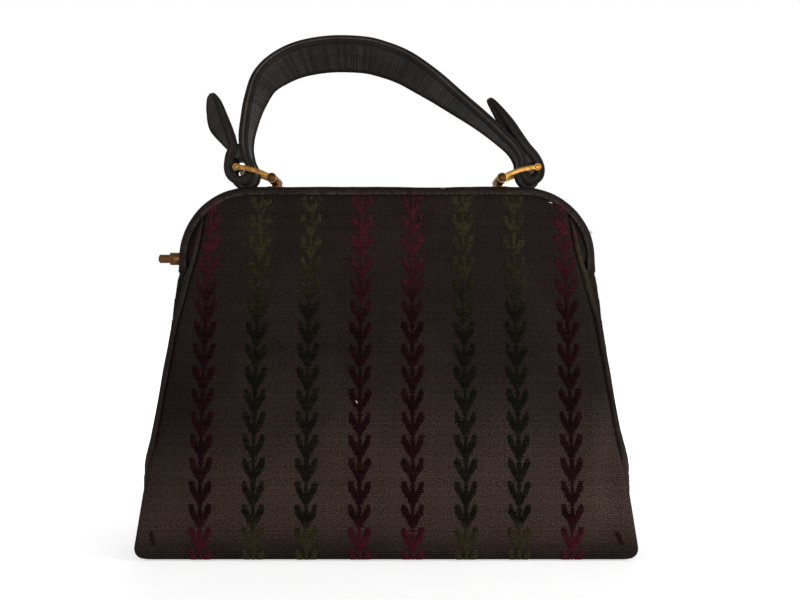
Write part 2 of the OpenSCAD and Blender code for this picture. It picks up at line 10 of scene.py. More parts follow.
import bmesh
import bpy
from bpy.props import FloatProperty, FloatVectorProperty, IntProperty, PointerProperty
from mathutils import Matrix, Vector, noise
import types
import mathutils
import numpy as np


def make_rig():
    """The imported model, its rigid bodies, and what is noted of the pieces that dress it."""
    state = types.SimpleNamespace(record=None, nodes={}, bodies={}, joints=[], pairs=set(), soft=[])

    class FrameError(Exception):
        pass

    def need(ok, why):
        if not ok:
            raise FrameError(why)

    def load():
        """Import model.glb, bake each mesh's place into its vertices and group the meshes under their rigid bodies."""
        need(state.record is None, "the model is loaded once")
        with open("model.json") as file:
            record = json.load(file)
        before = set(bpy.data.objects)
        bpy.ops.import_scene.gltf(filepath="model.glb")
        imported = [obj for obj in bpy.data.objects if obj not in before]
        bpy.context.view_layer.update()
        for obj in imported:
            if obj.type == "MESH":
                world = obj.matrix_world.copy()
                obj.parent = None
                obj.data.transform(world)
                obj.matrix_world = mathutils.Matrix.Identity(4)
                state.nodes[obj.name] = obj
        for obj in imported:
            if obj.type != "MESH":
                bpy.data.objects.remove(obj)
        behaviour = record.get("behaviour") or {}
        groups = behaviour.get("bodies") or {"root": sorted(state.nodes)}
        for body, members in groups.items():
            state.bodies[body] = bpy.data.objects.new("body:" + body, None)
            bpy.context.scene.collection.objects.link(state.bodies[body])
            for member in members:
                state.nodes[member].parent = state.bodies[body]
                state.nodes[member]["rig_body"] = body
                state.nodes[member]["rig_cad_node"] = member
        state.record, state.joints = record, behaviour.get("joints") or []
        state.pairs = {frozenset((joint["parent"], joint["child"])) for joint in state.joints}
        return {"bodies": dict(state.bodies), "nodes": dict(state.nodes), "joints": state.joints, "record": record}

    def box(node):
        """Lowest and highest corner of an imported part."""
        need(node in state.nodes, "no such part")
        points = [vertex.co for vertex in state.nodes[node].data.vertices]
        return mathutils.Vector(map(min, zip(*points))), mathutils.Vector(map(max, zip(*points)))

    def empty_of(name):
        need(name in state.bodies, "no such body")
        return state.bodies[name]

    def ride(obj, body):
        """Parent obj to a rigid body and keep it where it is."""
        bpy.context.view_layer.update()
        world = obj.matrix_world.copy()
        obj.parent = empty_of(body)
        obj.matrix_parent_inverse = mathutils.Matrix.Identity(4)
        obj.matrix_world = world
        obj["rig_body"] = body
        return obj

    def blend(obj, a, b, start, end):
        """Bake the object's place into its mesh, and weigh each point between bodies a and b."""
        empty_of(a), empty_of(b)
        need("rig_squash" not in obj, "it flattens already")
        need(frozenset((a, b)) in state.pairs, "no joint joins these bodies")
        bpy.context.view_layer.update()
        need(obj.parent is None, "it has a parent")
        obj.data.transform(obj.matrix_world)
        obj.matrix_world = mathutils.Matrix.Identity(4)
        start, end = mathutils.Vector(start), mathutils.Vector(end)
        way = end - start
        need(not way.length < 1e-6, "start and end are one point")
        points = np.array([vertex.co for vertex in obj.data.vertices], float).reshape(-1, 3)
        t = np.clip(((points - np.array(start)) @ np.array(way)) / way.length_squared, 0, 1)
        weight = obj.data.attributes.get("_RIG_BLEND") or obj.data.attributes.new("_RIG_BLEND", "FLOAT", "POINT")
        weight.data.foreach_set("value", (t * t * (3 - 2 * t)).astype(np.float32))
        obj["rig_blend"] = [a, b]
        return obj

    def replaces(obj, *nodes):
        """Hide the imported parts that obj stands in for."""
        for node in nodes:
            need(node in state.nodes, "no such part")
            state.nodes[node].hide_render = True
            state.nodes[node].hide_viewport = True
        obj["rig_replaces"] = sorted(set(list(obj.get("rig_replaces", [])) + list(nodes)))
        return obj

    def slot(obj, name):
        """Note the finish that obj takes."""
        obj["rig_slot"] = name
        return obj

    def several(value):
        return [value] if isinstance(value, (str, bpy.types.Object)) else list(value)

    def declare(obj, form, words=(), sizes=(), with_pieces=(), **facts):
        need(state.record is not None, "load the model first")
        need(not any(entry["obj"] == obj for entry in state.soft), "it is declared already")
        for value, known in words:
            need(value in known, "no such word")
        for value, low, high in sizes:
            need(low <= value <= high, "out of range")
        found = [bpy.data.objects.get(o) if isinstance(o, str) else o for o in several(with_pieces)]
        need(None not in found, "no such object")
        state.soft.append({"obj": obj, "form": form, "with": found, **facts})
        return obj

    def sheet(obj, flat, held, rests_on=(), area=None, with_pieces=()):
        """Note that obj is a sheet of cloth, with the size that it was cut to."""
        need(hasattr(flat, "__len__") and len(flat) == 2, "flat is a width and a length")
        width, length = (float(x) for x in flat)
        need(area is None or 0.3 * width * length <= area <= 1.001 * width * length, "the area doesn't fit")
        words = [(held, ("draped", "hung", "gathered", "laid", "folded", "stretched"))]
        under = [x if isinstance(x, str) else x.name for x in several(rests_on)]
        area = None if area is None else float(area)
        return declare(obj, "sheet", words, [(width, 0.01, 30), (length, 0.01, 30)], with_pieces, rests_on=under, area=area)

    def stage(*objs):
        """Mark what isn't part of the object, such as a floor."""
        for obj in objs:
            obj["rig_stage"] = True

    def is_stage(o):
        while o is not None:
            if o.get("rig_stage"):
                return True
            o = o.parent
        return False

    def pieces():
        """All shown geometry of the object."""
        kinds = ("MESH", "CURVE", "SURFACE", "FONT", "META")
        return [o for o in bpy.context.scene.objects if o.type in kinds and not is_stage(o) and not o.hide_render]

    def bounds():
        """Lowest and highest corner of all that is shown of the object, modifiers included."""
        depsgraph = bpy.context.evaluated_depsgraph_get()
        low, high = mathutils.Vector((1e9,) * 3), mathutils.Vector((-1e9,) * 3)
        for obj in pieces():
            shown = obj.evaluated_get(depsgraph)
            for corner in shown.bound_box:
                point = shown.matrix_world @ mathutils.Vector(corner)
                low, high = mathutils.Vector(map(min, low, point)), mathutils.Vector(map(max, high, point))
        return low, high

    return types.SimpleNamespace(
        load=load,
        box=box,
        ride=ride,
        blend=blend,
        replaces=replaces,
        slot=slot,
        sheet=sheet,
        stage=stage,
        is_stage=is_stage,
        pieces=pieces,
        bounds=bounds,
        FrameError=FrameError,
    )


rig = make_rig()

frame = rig.load()

bl_info = {
    "name": "Covered-frame handbag",
    "version": (1, 0, 0),
    "blender": (4, 5, 0),
    "location": "View3D > Sidebar > Handbag",
    "description": "Cloth, pile, strap and brass of a covered-frame handbag",
    "category": "Object",
}

MM = 0.001
SIZE_FILE = "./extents.json"

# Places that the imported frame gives
CAD_BOX = [list(corner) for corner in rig.bounds()]
COVER_LOW, COVER_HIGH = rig.box("front_frame_cover")
JOINTS = {joint["name"]: joint for joint in frame["record"]["behaviour"]["joints"]}
HINGE_Z = JOINTS["front_open"]["pos_m"][2]
FRAME_TOP = COVER_HIGH[2]
FRAME_HALF = COVER_HIGH[0]
FRAME_DEEP = -COVER_LOW[1]

# Names of the bag's sides and ends, with the sign that mirrors a piece there
SIDES = (("right", 1), ("left", -1))
ENDS = (("front", 1), ("rear", -1))


# Properties


def length(name, description, default):
    """A length in metres that a user may change."""
    return FloatProperty(name=name, description=description, default=default, unit="LENGTH", precision=4)


def colour(name, description, default):
    """A linear colour that a user may change."""
    return FloatVectorProperty(
        name=name, description=description, default=default, subtype="COLOR", size=3, min=0, max=1
    )


class BodySizes(bpy.types.PropertyGroup):
    """Sizes of the cloth body and the frame that closes it."""

    base_half: length("Base half width", "Half of the front panel's width at the base", 145 * MM)
    depth_half: length("Base half depth", "Half of the body's depth at the base", 44 * MM)
    rim_half: length("Rim half depth", "Half of the depth under the frame", 9.1 * MM)
    seam_inset: length("Seam inset", "How far the side seams sit inside the frame at the hinge", 9 * MM)
    corner_r: length("Frame corner", "Outer corner radius of the frame", 45 * MM)
    rim_h: length("Rim height", "Height of the covered rim", 5 * MM)
    panel_t: length("Panel", "Thickness of a stiffened panel", 2 * MM)
    gusset_t: length("Gusset", "Thickness of the gusset cloth", 1.4 * MM)
    lining_t: length("Lining", "Thickness of the lining cloth", 0.7 * MM)
    swell: length("Gusset swell", "How far the gussets swell past the panel edges", 7.5 * MM)
    bulge: length("Panel bulge", "How far the middle of a panel stands forward", 3.6 * MM)


class LeafSizes(bpy.types.PropertyGroup):
    """Sizes of the leaf stripes in the figured cloth."""

    column_gap: length("Column gap", "Distance between two leaf columns", 30.8 * MM)
    pitch: length("Repeat", "Length of one leaf repeat along the cloth", 13.3 * MM)
    phase: length("Offset", "How far a leaf's foot sits over the line where the cloth bends", 2.3 * MM)
    half: length("Half width", "Half of the width of a leaf pair", 6.7 * MM)
    pile: length("Pile", "Height of the cut pile", 0.6 * MM)
    ribs: IntProperty(name="Ribs", description="Ribs of pile in one repeat", default=10, min=4, max=20)


class StrapSizes(bpy.types.PropertyGroup):
    """Sizes of the strap handle."""

    width: length("Width", "Strap width at the crown", 29 * MM)
    loop: length("Loop width", "Strap width inside the shackles", 26 * MM)
    rise: length("Rise", "Height of the crown's near edge over the frame", 95 * MM)
    thick: length("Thickness", "Strap thickness between its welts", 4.4 * MM)
    welt: length("Welt", "Radius of each of the two welts along an edge", 1.55 * MM)
    snug: FloatProperty(name="Loop share", description="Thickness left inside the shackles", default=0.68)
    lean: length("Lean", "How far the crown hangs to the rear", 18 * MM)


class Finishes(bpy.types.PropertyGroup):
    """Colours of the cloth, pile and metal, as linear values."""

    ground: colour("Ground", "Brown-black ribbed ground cloth", (0.0142, 0.0093, 0.0076))
    # This colour is the painted highlight over the full lower part of the panels, and also the colour of rubbed
    # patches.
    ground_highlight_and_rubbed: colour("Rubbed ground", "Ground cloth where it is rubbed", (0.0420, 0.0262, 0.0208))
    fold: colour("Worn fold", "Cover cloth where a fold is rubbed", (0.060, 0.049, 0.039))
    # The worn pile colours are partly real wear and partly painted sheen at the top and at the base edge.
    crimson: colour("Crimson", "Red pile where it is worn", (0.074, 0.0108, 0.0185))
    maroon: colour("Maroon", "Red pile where it is deep", (0.0092, 0.0027, 0.0036))
    olive: colour("Olive", "Green pile where it is worn", (0.047, 0.0395, 0.0170))
    bottle: colour("Bottle green", "Green pile where it is deep", (0.0056, 0.0064, 0.0036))
    strap: colour("Strap", "Grey-black grosgrain", (0.0262, 0.0242, 0.0226))
    strap_welt: colour("Strap welt", "Brown-black welts along the strap's edges", (0.0150, 0.0122, 0.0105))
    strap_inner: colour("Strap inside", "Dark plum inner face of the folded ends", (0.022, 0.0075, 0.0095))
    seam: colour("Seam", "Paler thread of the strap's seam", (0.098, 0.080, 0.064))
    lining: colour("Lining", "Dark burgundy lining", (0.030, 0.010, 0.010))
    brass: colour("Brass", "Polished brass", (0.52, 0.265, 0.058))
    bronze: colour("Bronzed brass", "Brown patina on brass", (0.26, 0.128, 0.048))
    steel: colour("Steel", "Bare frame steel", (0.46, 0.45, 0.43))


# The body's form


def smooth(low, high, value):
    """0 below low, 1 above high and a smooth rise between them."""
    t = min(1.0, max(0.0, (value - low) / (high - low)))
    return t * t * (3 - 2 * t)


def blend_value(a, b, t):
    """The value between a and b at share t."""
    return a + (b - a) * t


def mound(x, wide, z, tall):
    """1 at the middle of an oval mound and soon 0 outside it."""
    return math.exp(-((x / wide) ** 2 + (z / tall) ** 2))


def waver(a, b, c):
    """Smooth noise at a place in noise space, about -1 to 1."""
    return noise.noise(Vector((a, b, c)))


class BodyForm:
    """The outside of the bag as functions of place, the same curves as the solids have."""

    turn_r = 4.2 * MM
    corner_low = 7.5 * MM
    foot = 0.4 * MM
    base_flare = 2.3 * MM
    tuck = 2.2 * MM
    seam_tuck = 2.4 * MM
    seam_taper = 6.8 * MM
    panel_wave = 0.55 * MM
    side_ridge = 1.1 * MM
    side_groove = 0.9 * MM
    edge_dip = 1.3 * MM
    gusset_kink = 2.4 * MM
    gusset_shoulder = 3.0 * MM
    gusset_fold = 4.0 * MM
    gusset_start = 2.2 * MM
    wing_y = -9.4 * MM
    wing_sway = 0.7 * MM

    def __init__(self, sizes):
        self.sizes = sizes
        self.split_z = HINGE_Z - 2 * MM
        self.panel_top = FRAME_TOP - sizes.rim_h - 0.1 * MM
        self.waist = FRAME_HALF - sizes.seam_inset
        self.leg_x = FRAME_HALF - sizes.corner_r
        self.leg_z = FRAME_TOP - sizes.corner_r
        self.profile = self.panel_profile()
        self.runs = [0.0]
        for (y0, z0), (y1, z1) in zip(self.profile, self.profile[1:]):
            self.runs.append(self.runs[-1] + math.hypot(y1 - y0, z1 - z0))

    def half_depth(self, z):
        share = min(max(z, 0.0), self.panel_top) / self.panel_top
        return self.sizes.rim_half + (self.sizes.depth_half - self.sizes.rim_half) * (1 - share**1.6)

    def half_width(self, z):
        return self.sizes.base_half + (self.waist - self.sizes.base_half) * z / self.split_z

    def panel_edge(self, z):
        """Half width of a panel, with the rounded lower corners and the run up to the frame."""
        if z < self.corner_low:
            r = self.corner_low
            drop = r - max(z, self.foot)
            return self.half_width(r) + self.base_flare - r + math.sqrt(r * r - drop * drop)
        return self.seam_edge(z) + self.base_flare * (1 - smooth(38 * MM, 68 * MM, z))

    def seam_edge(self, z):
        """Half width at which the gusset is sewn in, behind the panel's own edge near the base."""
        low = self.half_width(z)
        rise = (z - HINGE_Z + 4 * MM) / (self.panel_top - HINGE_Z + 4 * MM)
        high = self.waist - 1.2 * MM - self.seam_taper * rise
        tucked = self.seam_tuck * smooth(130 * MM, 172 * MM, z)
        return blend_value(low, high, smooth(HINGE_Z - 14 * MM, HINGE_Z + 8 * MM, z)) - tucked

    def panel_profile(self):
        """Depth and height from the edge under the base up into the frame's channel."""
        start = self.half_depth(self.corner_low)
        r = self.turn_r
        points = [(-(start - r - 4 * MM), self.foot)]
        for step in range(13):
            a = math.radians(90 - 90 * step / 12)
            points.append((-(start - r + r * math.cos(a)), self.foot + r - r * math.sin(a)))
        top = self.panel_top + self.tuck
        rows = 120
        for step in range(1, rows + 1):
            z = blend_value(self.foot + r, top, step / rows)
            points.append((-blend_value(start, self.half_depth(z), smooth(7 * MM, 14 * MM, z)), z))
        return points

    def at(self, along):
        """Depth and height at a length along the cloth."""
        along = min(max(along, 0.0), self.runs[-1])
        low, high = 0, len(self.runs) - 1
        while high - low > 1:
            mid = (low + high) // 2
            if self.runs[mid] <= along:
                low = mid
            else:
                high = mid
        t = (along - self.runs[low]) / (self.runs[high] - self.runs[low])
        (y0, z0), (y1, z1) = self.profile[low], self.profile[high]
        return blend_value(y0, y1, t), blend_value(z0, z1, t)

    def along_at(self, z):
        """Length along the cloth at a height on the upright part."""
        for run, (_, height) in zip(self.runs[14:], self.profile[14:]):
            if height >= z:
                return run
        return self.runs[-1]

    def top_edge(self, x):
        """Height at which a panel goes into the frame, round its corners."""
        over = abs(x) - self.leg_x
        r = self.sizes.corner_r - self.sizes.rim_h + self.tuck
        if over <= 0:
            return self.leg_z + r
        return self.leg_z + math.sqrt(max(0.0, r * r - over * over))

    def bulge(self, x, z):
        """How far a panel stands forward of its straight section."""
        across = 1 - min(1.0, abs(x) / self.panel_edge(z)) ** 2.4
        height = smooth(2 * MM, 42 * MM, z) * (1 - smooth(66 * MM, 150 * MM, z))
        wave = waver(x * 16, z * 19, 3.1) * self.panel_wave
        calm = smooth(0, 30 * MM, z) * (1 - smooth(180 * MM, 205 * MM, z))
        ridge = self.side_ridge * mound(abs(x) - 137 * MM, 5 * MM, z - 55 * MM, 17 * MM)
        groove = self.side_groove * mound(abs(x) - 124 * MM, 6 * MM, z - 42 * MM, 22 * MM)
        return self.sizes.bulge * across * height + wave * calm + ridge - groove

    def panel_point(self, x, along, inset=0.0):
        """A point on the front panel, or that far inside it."""
        y, z = self.at(along)
        edge = self.panel_edge(z)
        dip = self.edge_dip * math.exp(-max(0.0, edge - abs(x)) / (2.0 * MM))
        return Vector((x, y - self.bulge(x, z) + dip + inset, z))

    def gusset_swell(self, z):
        kink = self.gusset_kink * math.exp(-(((z - 54 * MM) / (13 * MM)) ** 2))
        shoulder = self.gusset_shoulder * smooth(130 * MM, 167 * MM, z)
        return self.sizes.swell * (0.35 + 0.65 * smooth(3 * MM, 39 * MM, z)) + kink + shoulder

    def gusset_point(self, z, t, inset=0.0):
        """A point on the right gusset's front half: t runs from the seam, 0, to the middle fold, 1.

        Above the pouch the cloth runs on as a wing between the seam and the frame's leg.
        """
        edge = self.seam_edge(z)
        deep = self.half_depth(max(z, self.corner_low)) - self.sizes.panel_t - 0.3 * MM
        out = self.gusset_swell(z) + self.gusset_start
        fold = smooth(70 * MM, 150 * MM, z) * self.gusset_fold * math.exp(-(((1 - t) / 0.20) ** 2))
        ripple = waver(z * 38, t * 2.1, 7.7) * 0.8 * MM * math.sin(math.pi * t)
        x = edge - self.gusset_start + out * (1 - (1 - t) ** 3) - fold + ripple - inset
        pouch = Vector((x, -deep * (1 - t), z))
        seam = Vector((edge - 1.0 * MM - inset, -self.half_depth(z) + 1.6 * MM, z))
        leg = Vector((self.leg_inside(z), self.wing_y, z))
        wing = seam.lerp(leg, t)
        wing.y += self.wing_sway * math.sin(math.pi * t)
        rise = smooth(163 * MM, 179 * MM, z)
        point = pouch.lerp(wing, rise)
        point.x = blend_value(pouch.x, wing.x, smooth(169.0 * MM, 171.4 * MM, z))
        return point

    def leg_inside(self, z):
        """Inside of the frame's leg, round the upper corner."""
        r = self.sizes.corner_r - self.sizes.rim_h + 0.6 * MM
        rise = max(0.0, z - self.leg_z)
        return self.leg_x + math.sqrt(max(0.0, r * r - rise * rise))


# Meshes


def new_piece(name, mesh, material, shade=True):
    """Puts a mesh in the scene as a piece at the origin."""
    obj = bpy.data.objects.new(name, mesh)
    bpy.context.scene.collection.objects.link(obj)
    mesh.materials.clear()
    mesh.materials.append(material)
    if shade:
        mesh.shade_smooth()
    return obj


def grid_mesh(name, rows, columns, place, unwrap, closed=False):
    """A sheet of quads: place and unwrap take a row and a column as shares from 0 to 1."""
    count = columns if closed else columns + 1
    points = []
    for j in range(rows + 1):
        for i in range(count):
            points.append(place(j / rows, i / columns))
    faces = []
    corners = []
    for j in range(rows):
        for i in range(columns):
            k = (i + 1) % count
            faces.append((j * count + i, j * count + k, (j + 1) * count + k, (j + 1) * count + i))
            for row, column in ((j, i), (j, i + 1), (j + 1, i + 1), (j + 1, i)):
                corners.append(unwrap(row / rows, column / columns))
    mesh = bpy.data.meshes.new(name)
    mesh.from_pydata(points, [], faces)
    layer = mesh.uv_layers.new(name="cloth")
    for loop, uv in zip(layer.data, corners):
        loop.uv = uv
    return mesh


def cap_ends(mesh, rows, ring):
    """Closes the first and last ring of a closed sweep."""
    build = bmesh.new()
    build.from_mesh(mesh)
    build.verts.ensure_lookup_table()
    build.faces.new([build.verts[i] for i in reversed(range(ring))])
    build.faces.new([build.verts[rows * ring + i] for i in range(ring)])
    build.to_mesh(mesh)
    build.free()


def face_away(mesh, inside):
    """Turns a sheet so that its faces look away from a point inside the bag."""
    mesh.update()
    score = sum((face.center - inside).dot(face.normal) * face.area for face in mesh.polygons)
    if score < 0:
        mesh.flip_normals()


def close_outward(mesh):
    """Merges doubles and turns a closed mesh's faces outwards."""
    build = bmesh.new()
    build.from_mesh(mesh)
    bmesh.ops.remove_doubles(build, verts=build.verts, dist=0.004 * MM)
    bmesh.ops.recalc_face_normals(build, faces=build.faces)
    build.to_mesh(mesh)
    build.free()


def round_edges(build, edges, offset, segments):
    """Rounds edges of a mesh that is being built."""
    bmesh.ops.bevel(
        build, geom=edges, offset=offset, segments=segments, profile=0.5, affect="EDGES", clamp_overlap=True
    )


def mirrored(mesh, name, x=1, y=1):
    """A copy of a mesh mirrored in X or Y, with its faces still outwards."""
    copy = mesh.copy()
    copy.name = name
    copy.transform(Matrix.Diagonal((x, y, 1, 1)))
    if x * y < 0:
        copy.flip_normals()
    return copy


def settle_modifiers(obj):
    """Turns a piece's modifiers into plain mesh."""
    depsgraph = bpy.context.evaluated_depsgraph_get()
    mesh = bpy.data.meshes.new_from_object(obj.evaluated_get(depsgraph))
    obj.modifiers.clear()
    obj.data = mesh
    return obj


def declare_sheet(obj, mesh, held, *rests_on):
    """Says what a sheet of cloth is cut to, from the unwrapped outline of its mesh before it has a wall."""
    spots = [loop.uv for loop in mesh.uv_layers["cloth"].data]
    width = max(uv.x for uv in spots) - min(uv.x for uv in spots)
    long = max(uv.y for uv in spots) - min(uv.y for uv in spots)
    area = sum(face.area for face in mesh.polygons)
    flat = (width, long)
    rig.sheet(obj, flat=flat, held=held, rests_on=list(rests_on), area=min(area, width * long))


def note_values(mesh, shades):
    """Keeps one value for each point of a mesh under each name, for the materials to read."""
    for name, values in shades.items():
        mesh.attributes.new(name, "FLOAT", "POINT").data.foreach_set("value", values)


def dress_node(node, metal):
    """Gives a solid that stays as it is its material."""
    materials = frame["nodes"][node].data.materials
    materials.clear()
    materials.append(finish(metal))


def thicken(obj, thickness):
    """Gives a sheet its wall, inwards from its outer face."""
    wall = obj.modifiers.new("wall", "SOLIDIFY")
    wall.thickness = thickness
    wall.offset = -1
    wall.use_even_offset = True
    return settle_modifiers(obj)


# How the cloth follows the frame halves as they open

FRONT_FIELD = ((0, -0.022, 0.150), (0, -0.0332, 0.1665))


def follow_half(obj, front):
    """Bends a cloth piece between the body and one frame half."""
    start, end = FRONT_FIELD
    if front:
        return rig.blend(obj, "bag_body", "front_half", start, end)
    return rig.blend(obj, "bag_body", "rear_half", (0, -start[1], start[2]), (0, -end[1], end[2]))


# Shader nodes


class Tree:
    """Short words for building a node tree."""

    def __init__(self, tree):
        self.tree = tree

    def node(self, kind, inputs=None, **settings):
        made = self.tree.nodes.new(kind)
        for key, value in settings.items():
            setattr(made, key, value)
        for key, value in (inputs or {}).items():
            if isinstance(value, bpy.types.NodeSocket):
                self.link(value, made.inputs[key])
            else:
                made.inputs[key].default_value = value
        return made

    def math(self, operation, a, b=None, clamp=False):
        inputs = {0: a}
        if b is not None:
            inputs[1] = b
        return self.node("ShaderNodeMath", inputs, operation=operation, use_clamp=clamp).outputs[0]

    def times(self, a, b, clamp=False):
        return self.math("MULTIPLY", a, b, clamp)

    def plus(self, a, b, clamp=False):
        return self.math("ADD", a, b, clamp)

    def less(self, a, b):
        return self.math("SUBTRACT", a, b)

    def mix(self, share, a, b, blend_type="MIX"):
        inputs = {0: share, 6: a, 7: b}
        return self.node("ShaderNodeMix", inputs, data_type="RGBA", blend_type=blend_type).outputs[2]

    def shade(self, paint, gain):
        """A colour made darker or lighter by a gain."""
        tint = self.node("ShaderNodeCombineColor", {0: gain, 1: gain, 2: gain}).outputs[0]
        return self.mix(1.0, paint, tint, "MULTIPLY")

    def attribute(self, name, kind="Fac"):
        """A value that the piece's mesh carries."""
        return self.node("ShaderNodeAttribute", attribute_name=name).outputs[kind]

    def parts(self, vector):
        """X, Y and Z of a vector."""
        return self.node("ShaderNodeSeparateXYZ", {0: vector}).outputs

    def ramp(self, value, low, high, to_low=0.0, to_high=1.0):
        inputs = {"Value": value, "From Min": low, "From Max": high, "To Min": to_low, "To Max": to_high}
        made = self.node("ShaderNodeMapRange", inputs, interpolation_type="SMOOTHSTEP")
        return made.outputs["Result"]

    def noise(self, vector, scale, detail=2.0, roughness=0.5):
        inputs = {"Vector": vector, "Scale": scale, "Detail": detail, "Roughness": roughness}
        return self.node("ShaderNodeTexNoise", inputs).outputs["Fac"]

    def link(self, source, target):
        self.tree.links.new(source, target)


def new_group(name, inputs, outputs):
    """An empty shader group that takes a vector and numbers and gives numbers, and words to fill it."""
    group = bpy.data.node_groups.new(name, "ShaderNodeTree")
    group.interface.new_socket("Vector", in_out="INPUT", socket_type="NodeSocketVector")
    for label, default in inputs.items():
        socket = group.interface.new_socket(label, in_out="INPUT", socket_type="NodeSocketFloat")
        socket.default_value = default
    for label in outputs:
        group.interface.new_socket(label, in_out="OUTPUT", socket_type="NodeSocketFloat")
    tree = Tree(group)
    return group, tree, tree.node("NodeGroupInput").outputs, tree.node("NodeGroupOutput").inputs


def weave_group():
    """Threads of a ribbed cloth: relief, and a shade for each thread."""
    sizes = {"Across": 0.0007, "Along": 0.0006, "Rib": 0.6, "Streak": 0.1}
    group, tree, given, result = new_group("ribbed weave", sizes, ("Height", "Thread"))
    parts = tree.parts(given["Vector"])
    drift = tree.noise(given["Vector"], 60.0, 2.0)
    warp = tree.plus(tree.math("DIVIDE", parts[0], given["Across"]), drift)
    weft = tree.plus(tree.math("DIVIDE", parts[1], given["Along"]), drift)
    warp_wave, weft_wave = (
        tree.math("ABSOLUTE", tree.math("SINE", tree.times(run, math.pi))) for run in (warp, weft)
    )
    ribs = tree.times(weft_wave, given["Rib"])
    cross = tree.times(warp_wave, tree.less(1.0, given["Rib"]))
    tree.link(tree.plus(ribs, cross), result["Height"])
    warp_shade, weft_shade = (
        tree.node(
            "ShaderNodeTexWhiteNoise", {"W": tree.math("FLOOR", run)}, noise_dimensions="1D"
        ).outputs["Value"]
        for run in (warp, weft)
    )
    both = tree.times(tree.plus(warp_shade, tree.times(weft_shade, 2.0)), 0.3333)
    slub = tree.noise(given["Vector"], 950.0, 4.0, 0.75)
    threads = tree.times(both, given["Streak"])
    loose = tree.times(slub, tree.less(1.0, given["Streak"]))
    tree.link(tree.plus(threads, loose), result["Thread"])
    return group


def rubbing_group():
    """Broad soft patches, and small specks, where cloth is rubbed or dusty."""
    group, tree, given, result = new_group("rubbed patches", {"Scale": 30.0}, ("Patch", "Speck"))
    broad = tree.noise(given["Vector"], given["Scale"], 4.0, 0.55)
    tree.link(tree.ramp(broad, 0.32, 0.70), result["Patch"])
    fine = tree.noise(given["Vector"], tree.times(given["Scale"], 60.0), 2.0, 0.6)
    tree.link(tree.ramp(fine, 0.66, 0.80), result["Speck"])
    return group


def tarnish_group():
    """Stains and fine scratches on old metal."""
    group, tree, given, result = new_group("tarnish", {"Scale": 400.0}, ("Stain", "Scratch"))
    broad = tree.noise(given["Vector"], given["Scale"], 5.0, 0.62)
    tree.link(tree.ramp(broad, 0.38, 0.72), result["Stain"])
    stretched = tree.node("ShaderNodeMapping", {"Vector": given["Vector"], "Scale": (1.0, 7.0, 9.0)})
    fine = tree.noise(stretched.outputs[0], tree.times(given["Scale"], 4.0), 3.0, 0.6)
    tree.link(fine, result["Scratch"])
    return group


def rgba(value):
    """A colour property as the four numbers that a socket takes."""
    return (value[0], value[1], value[2], 1.0)


def new_material(name, roughness, specular, sheen=0.0):
    """A material with one Principled shader, short words for its tree, and its coordinates."""
    material = bpy.data.materials.new(name)
    material.use_nodes = True
    shader = material.node_tree.nodes["Principled BSDF"]
    shader.inputs["Roughness"].default_value = roughness
    shader.inputs["Specular IOR Level"].default_value = specular
    shader.inputs["Sheen Weight"].default_value = sheen
    shader.inputs["Sheen Roughness"].default_value = 0.45
    tree = Tree(material.node_tree)
    return material, tree, shader, tree.node("ShaderNodeTexCoord").outputs


def place_group(tree, name, maker, inputs):
    """Puts a shared group in a material's tree, built the first time that it is asked for."""
    group = bpy.data.node_groups.get(name) or maker()
    return tree.node("ShaderNodeGroup", inputs, node_tree=group).outputs


def bump(tree, shader, height, strength, distance):
    """Relief on a material from a height."""
    made = tree.node("ShaderNodeBump", {"Height": height, "Strength": strength, "Distance": distance})
    tree.link(made.outputs["Normal"], shader.inputs["Normal"])


def edge_painted_light(tree, place):
    """How the panel's edges differ from its middle: painted shade at the left, a painted highlight along a fold at the
    right, and painted light over the lower right.
    """
    mid = tree.times(tree.ramp(place[2], 0.052, 0.078), tree.ramp(place[2], 0.135, 0.110))
    # Painted shade where the left edge turns away, between 52 and 135 mm up.
    dull = tree.times(tree.ramp(place[0], -0.098, -0.122), mid)
    # Painted highlight along the fold near the right edge.
    fold = tree.times(tree.ramp(place[0], 0.116, 0.126), tree.ramp(place[0], 0.137, 0.130))
    height = tree.times(tree.ramp(place[2], 0.018, 0.034), tree.ramp(place[2], 0.105, 0.080))
    fold = tree.times(fold, height)
    # Painted light over the lower right, which is lit more from that side.
    right = tree.times(tree.ramp(place[0], 0.050, 0.120), tree.ramp(place[2], 0.085, 0.050))
    gain = tree.less(1.0, tree.times(dull, 0.34))
    gain = tree.plus(gain, tree.times(fold, 0.30))
    return tree.plus(gain, tree.times(right, 0.08))


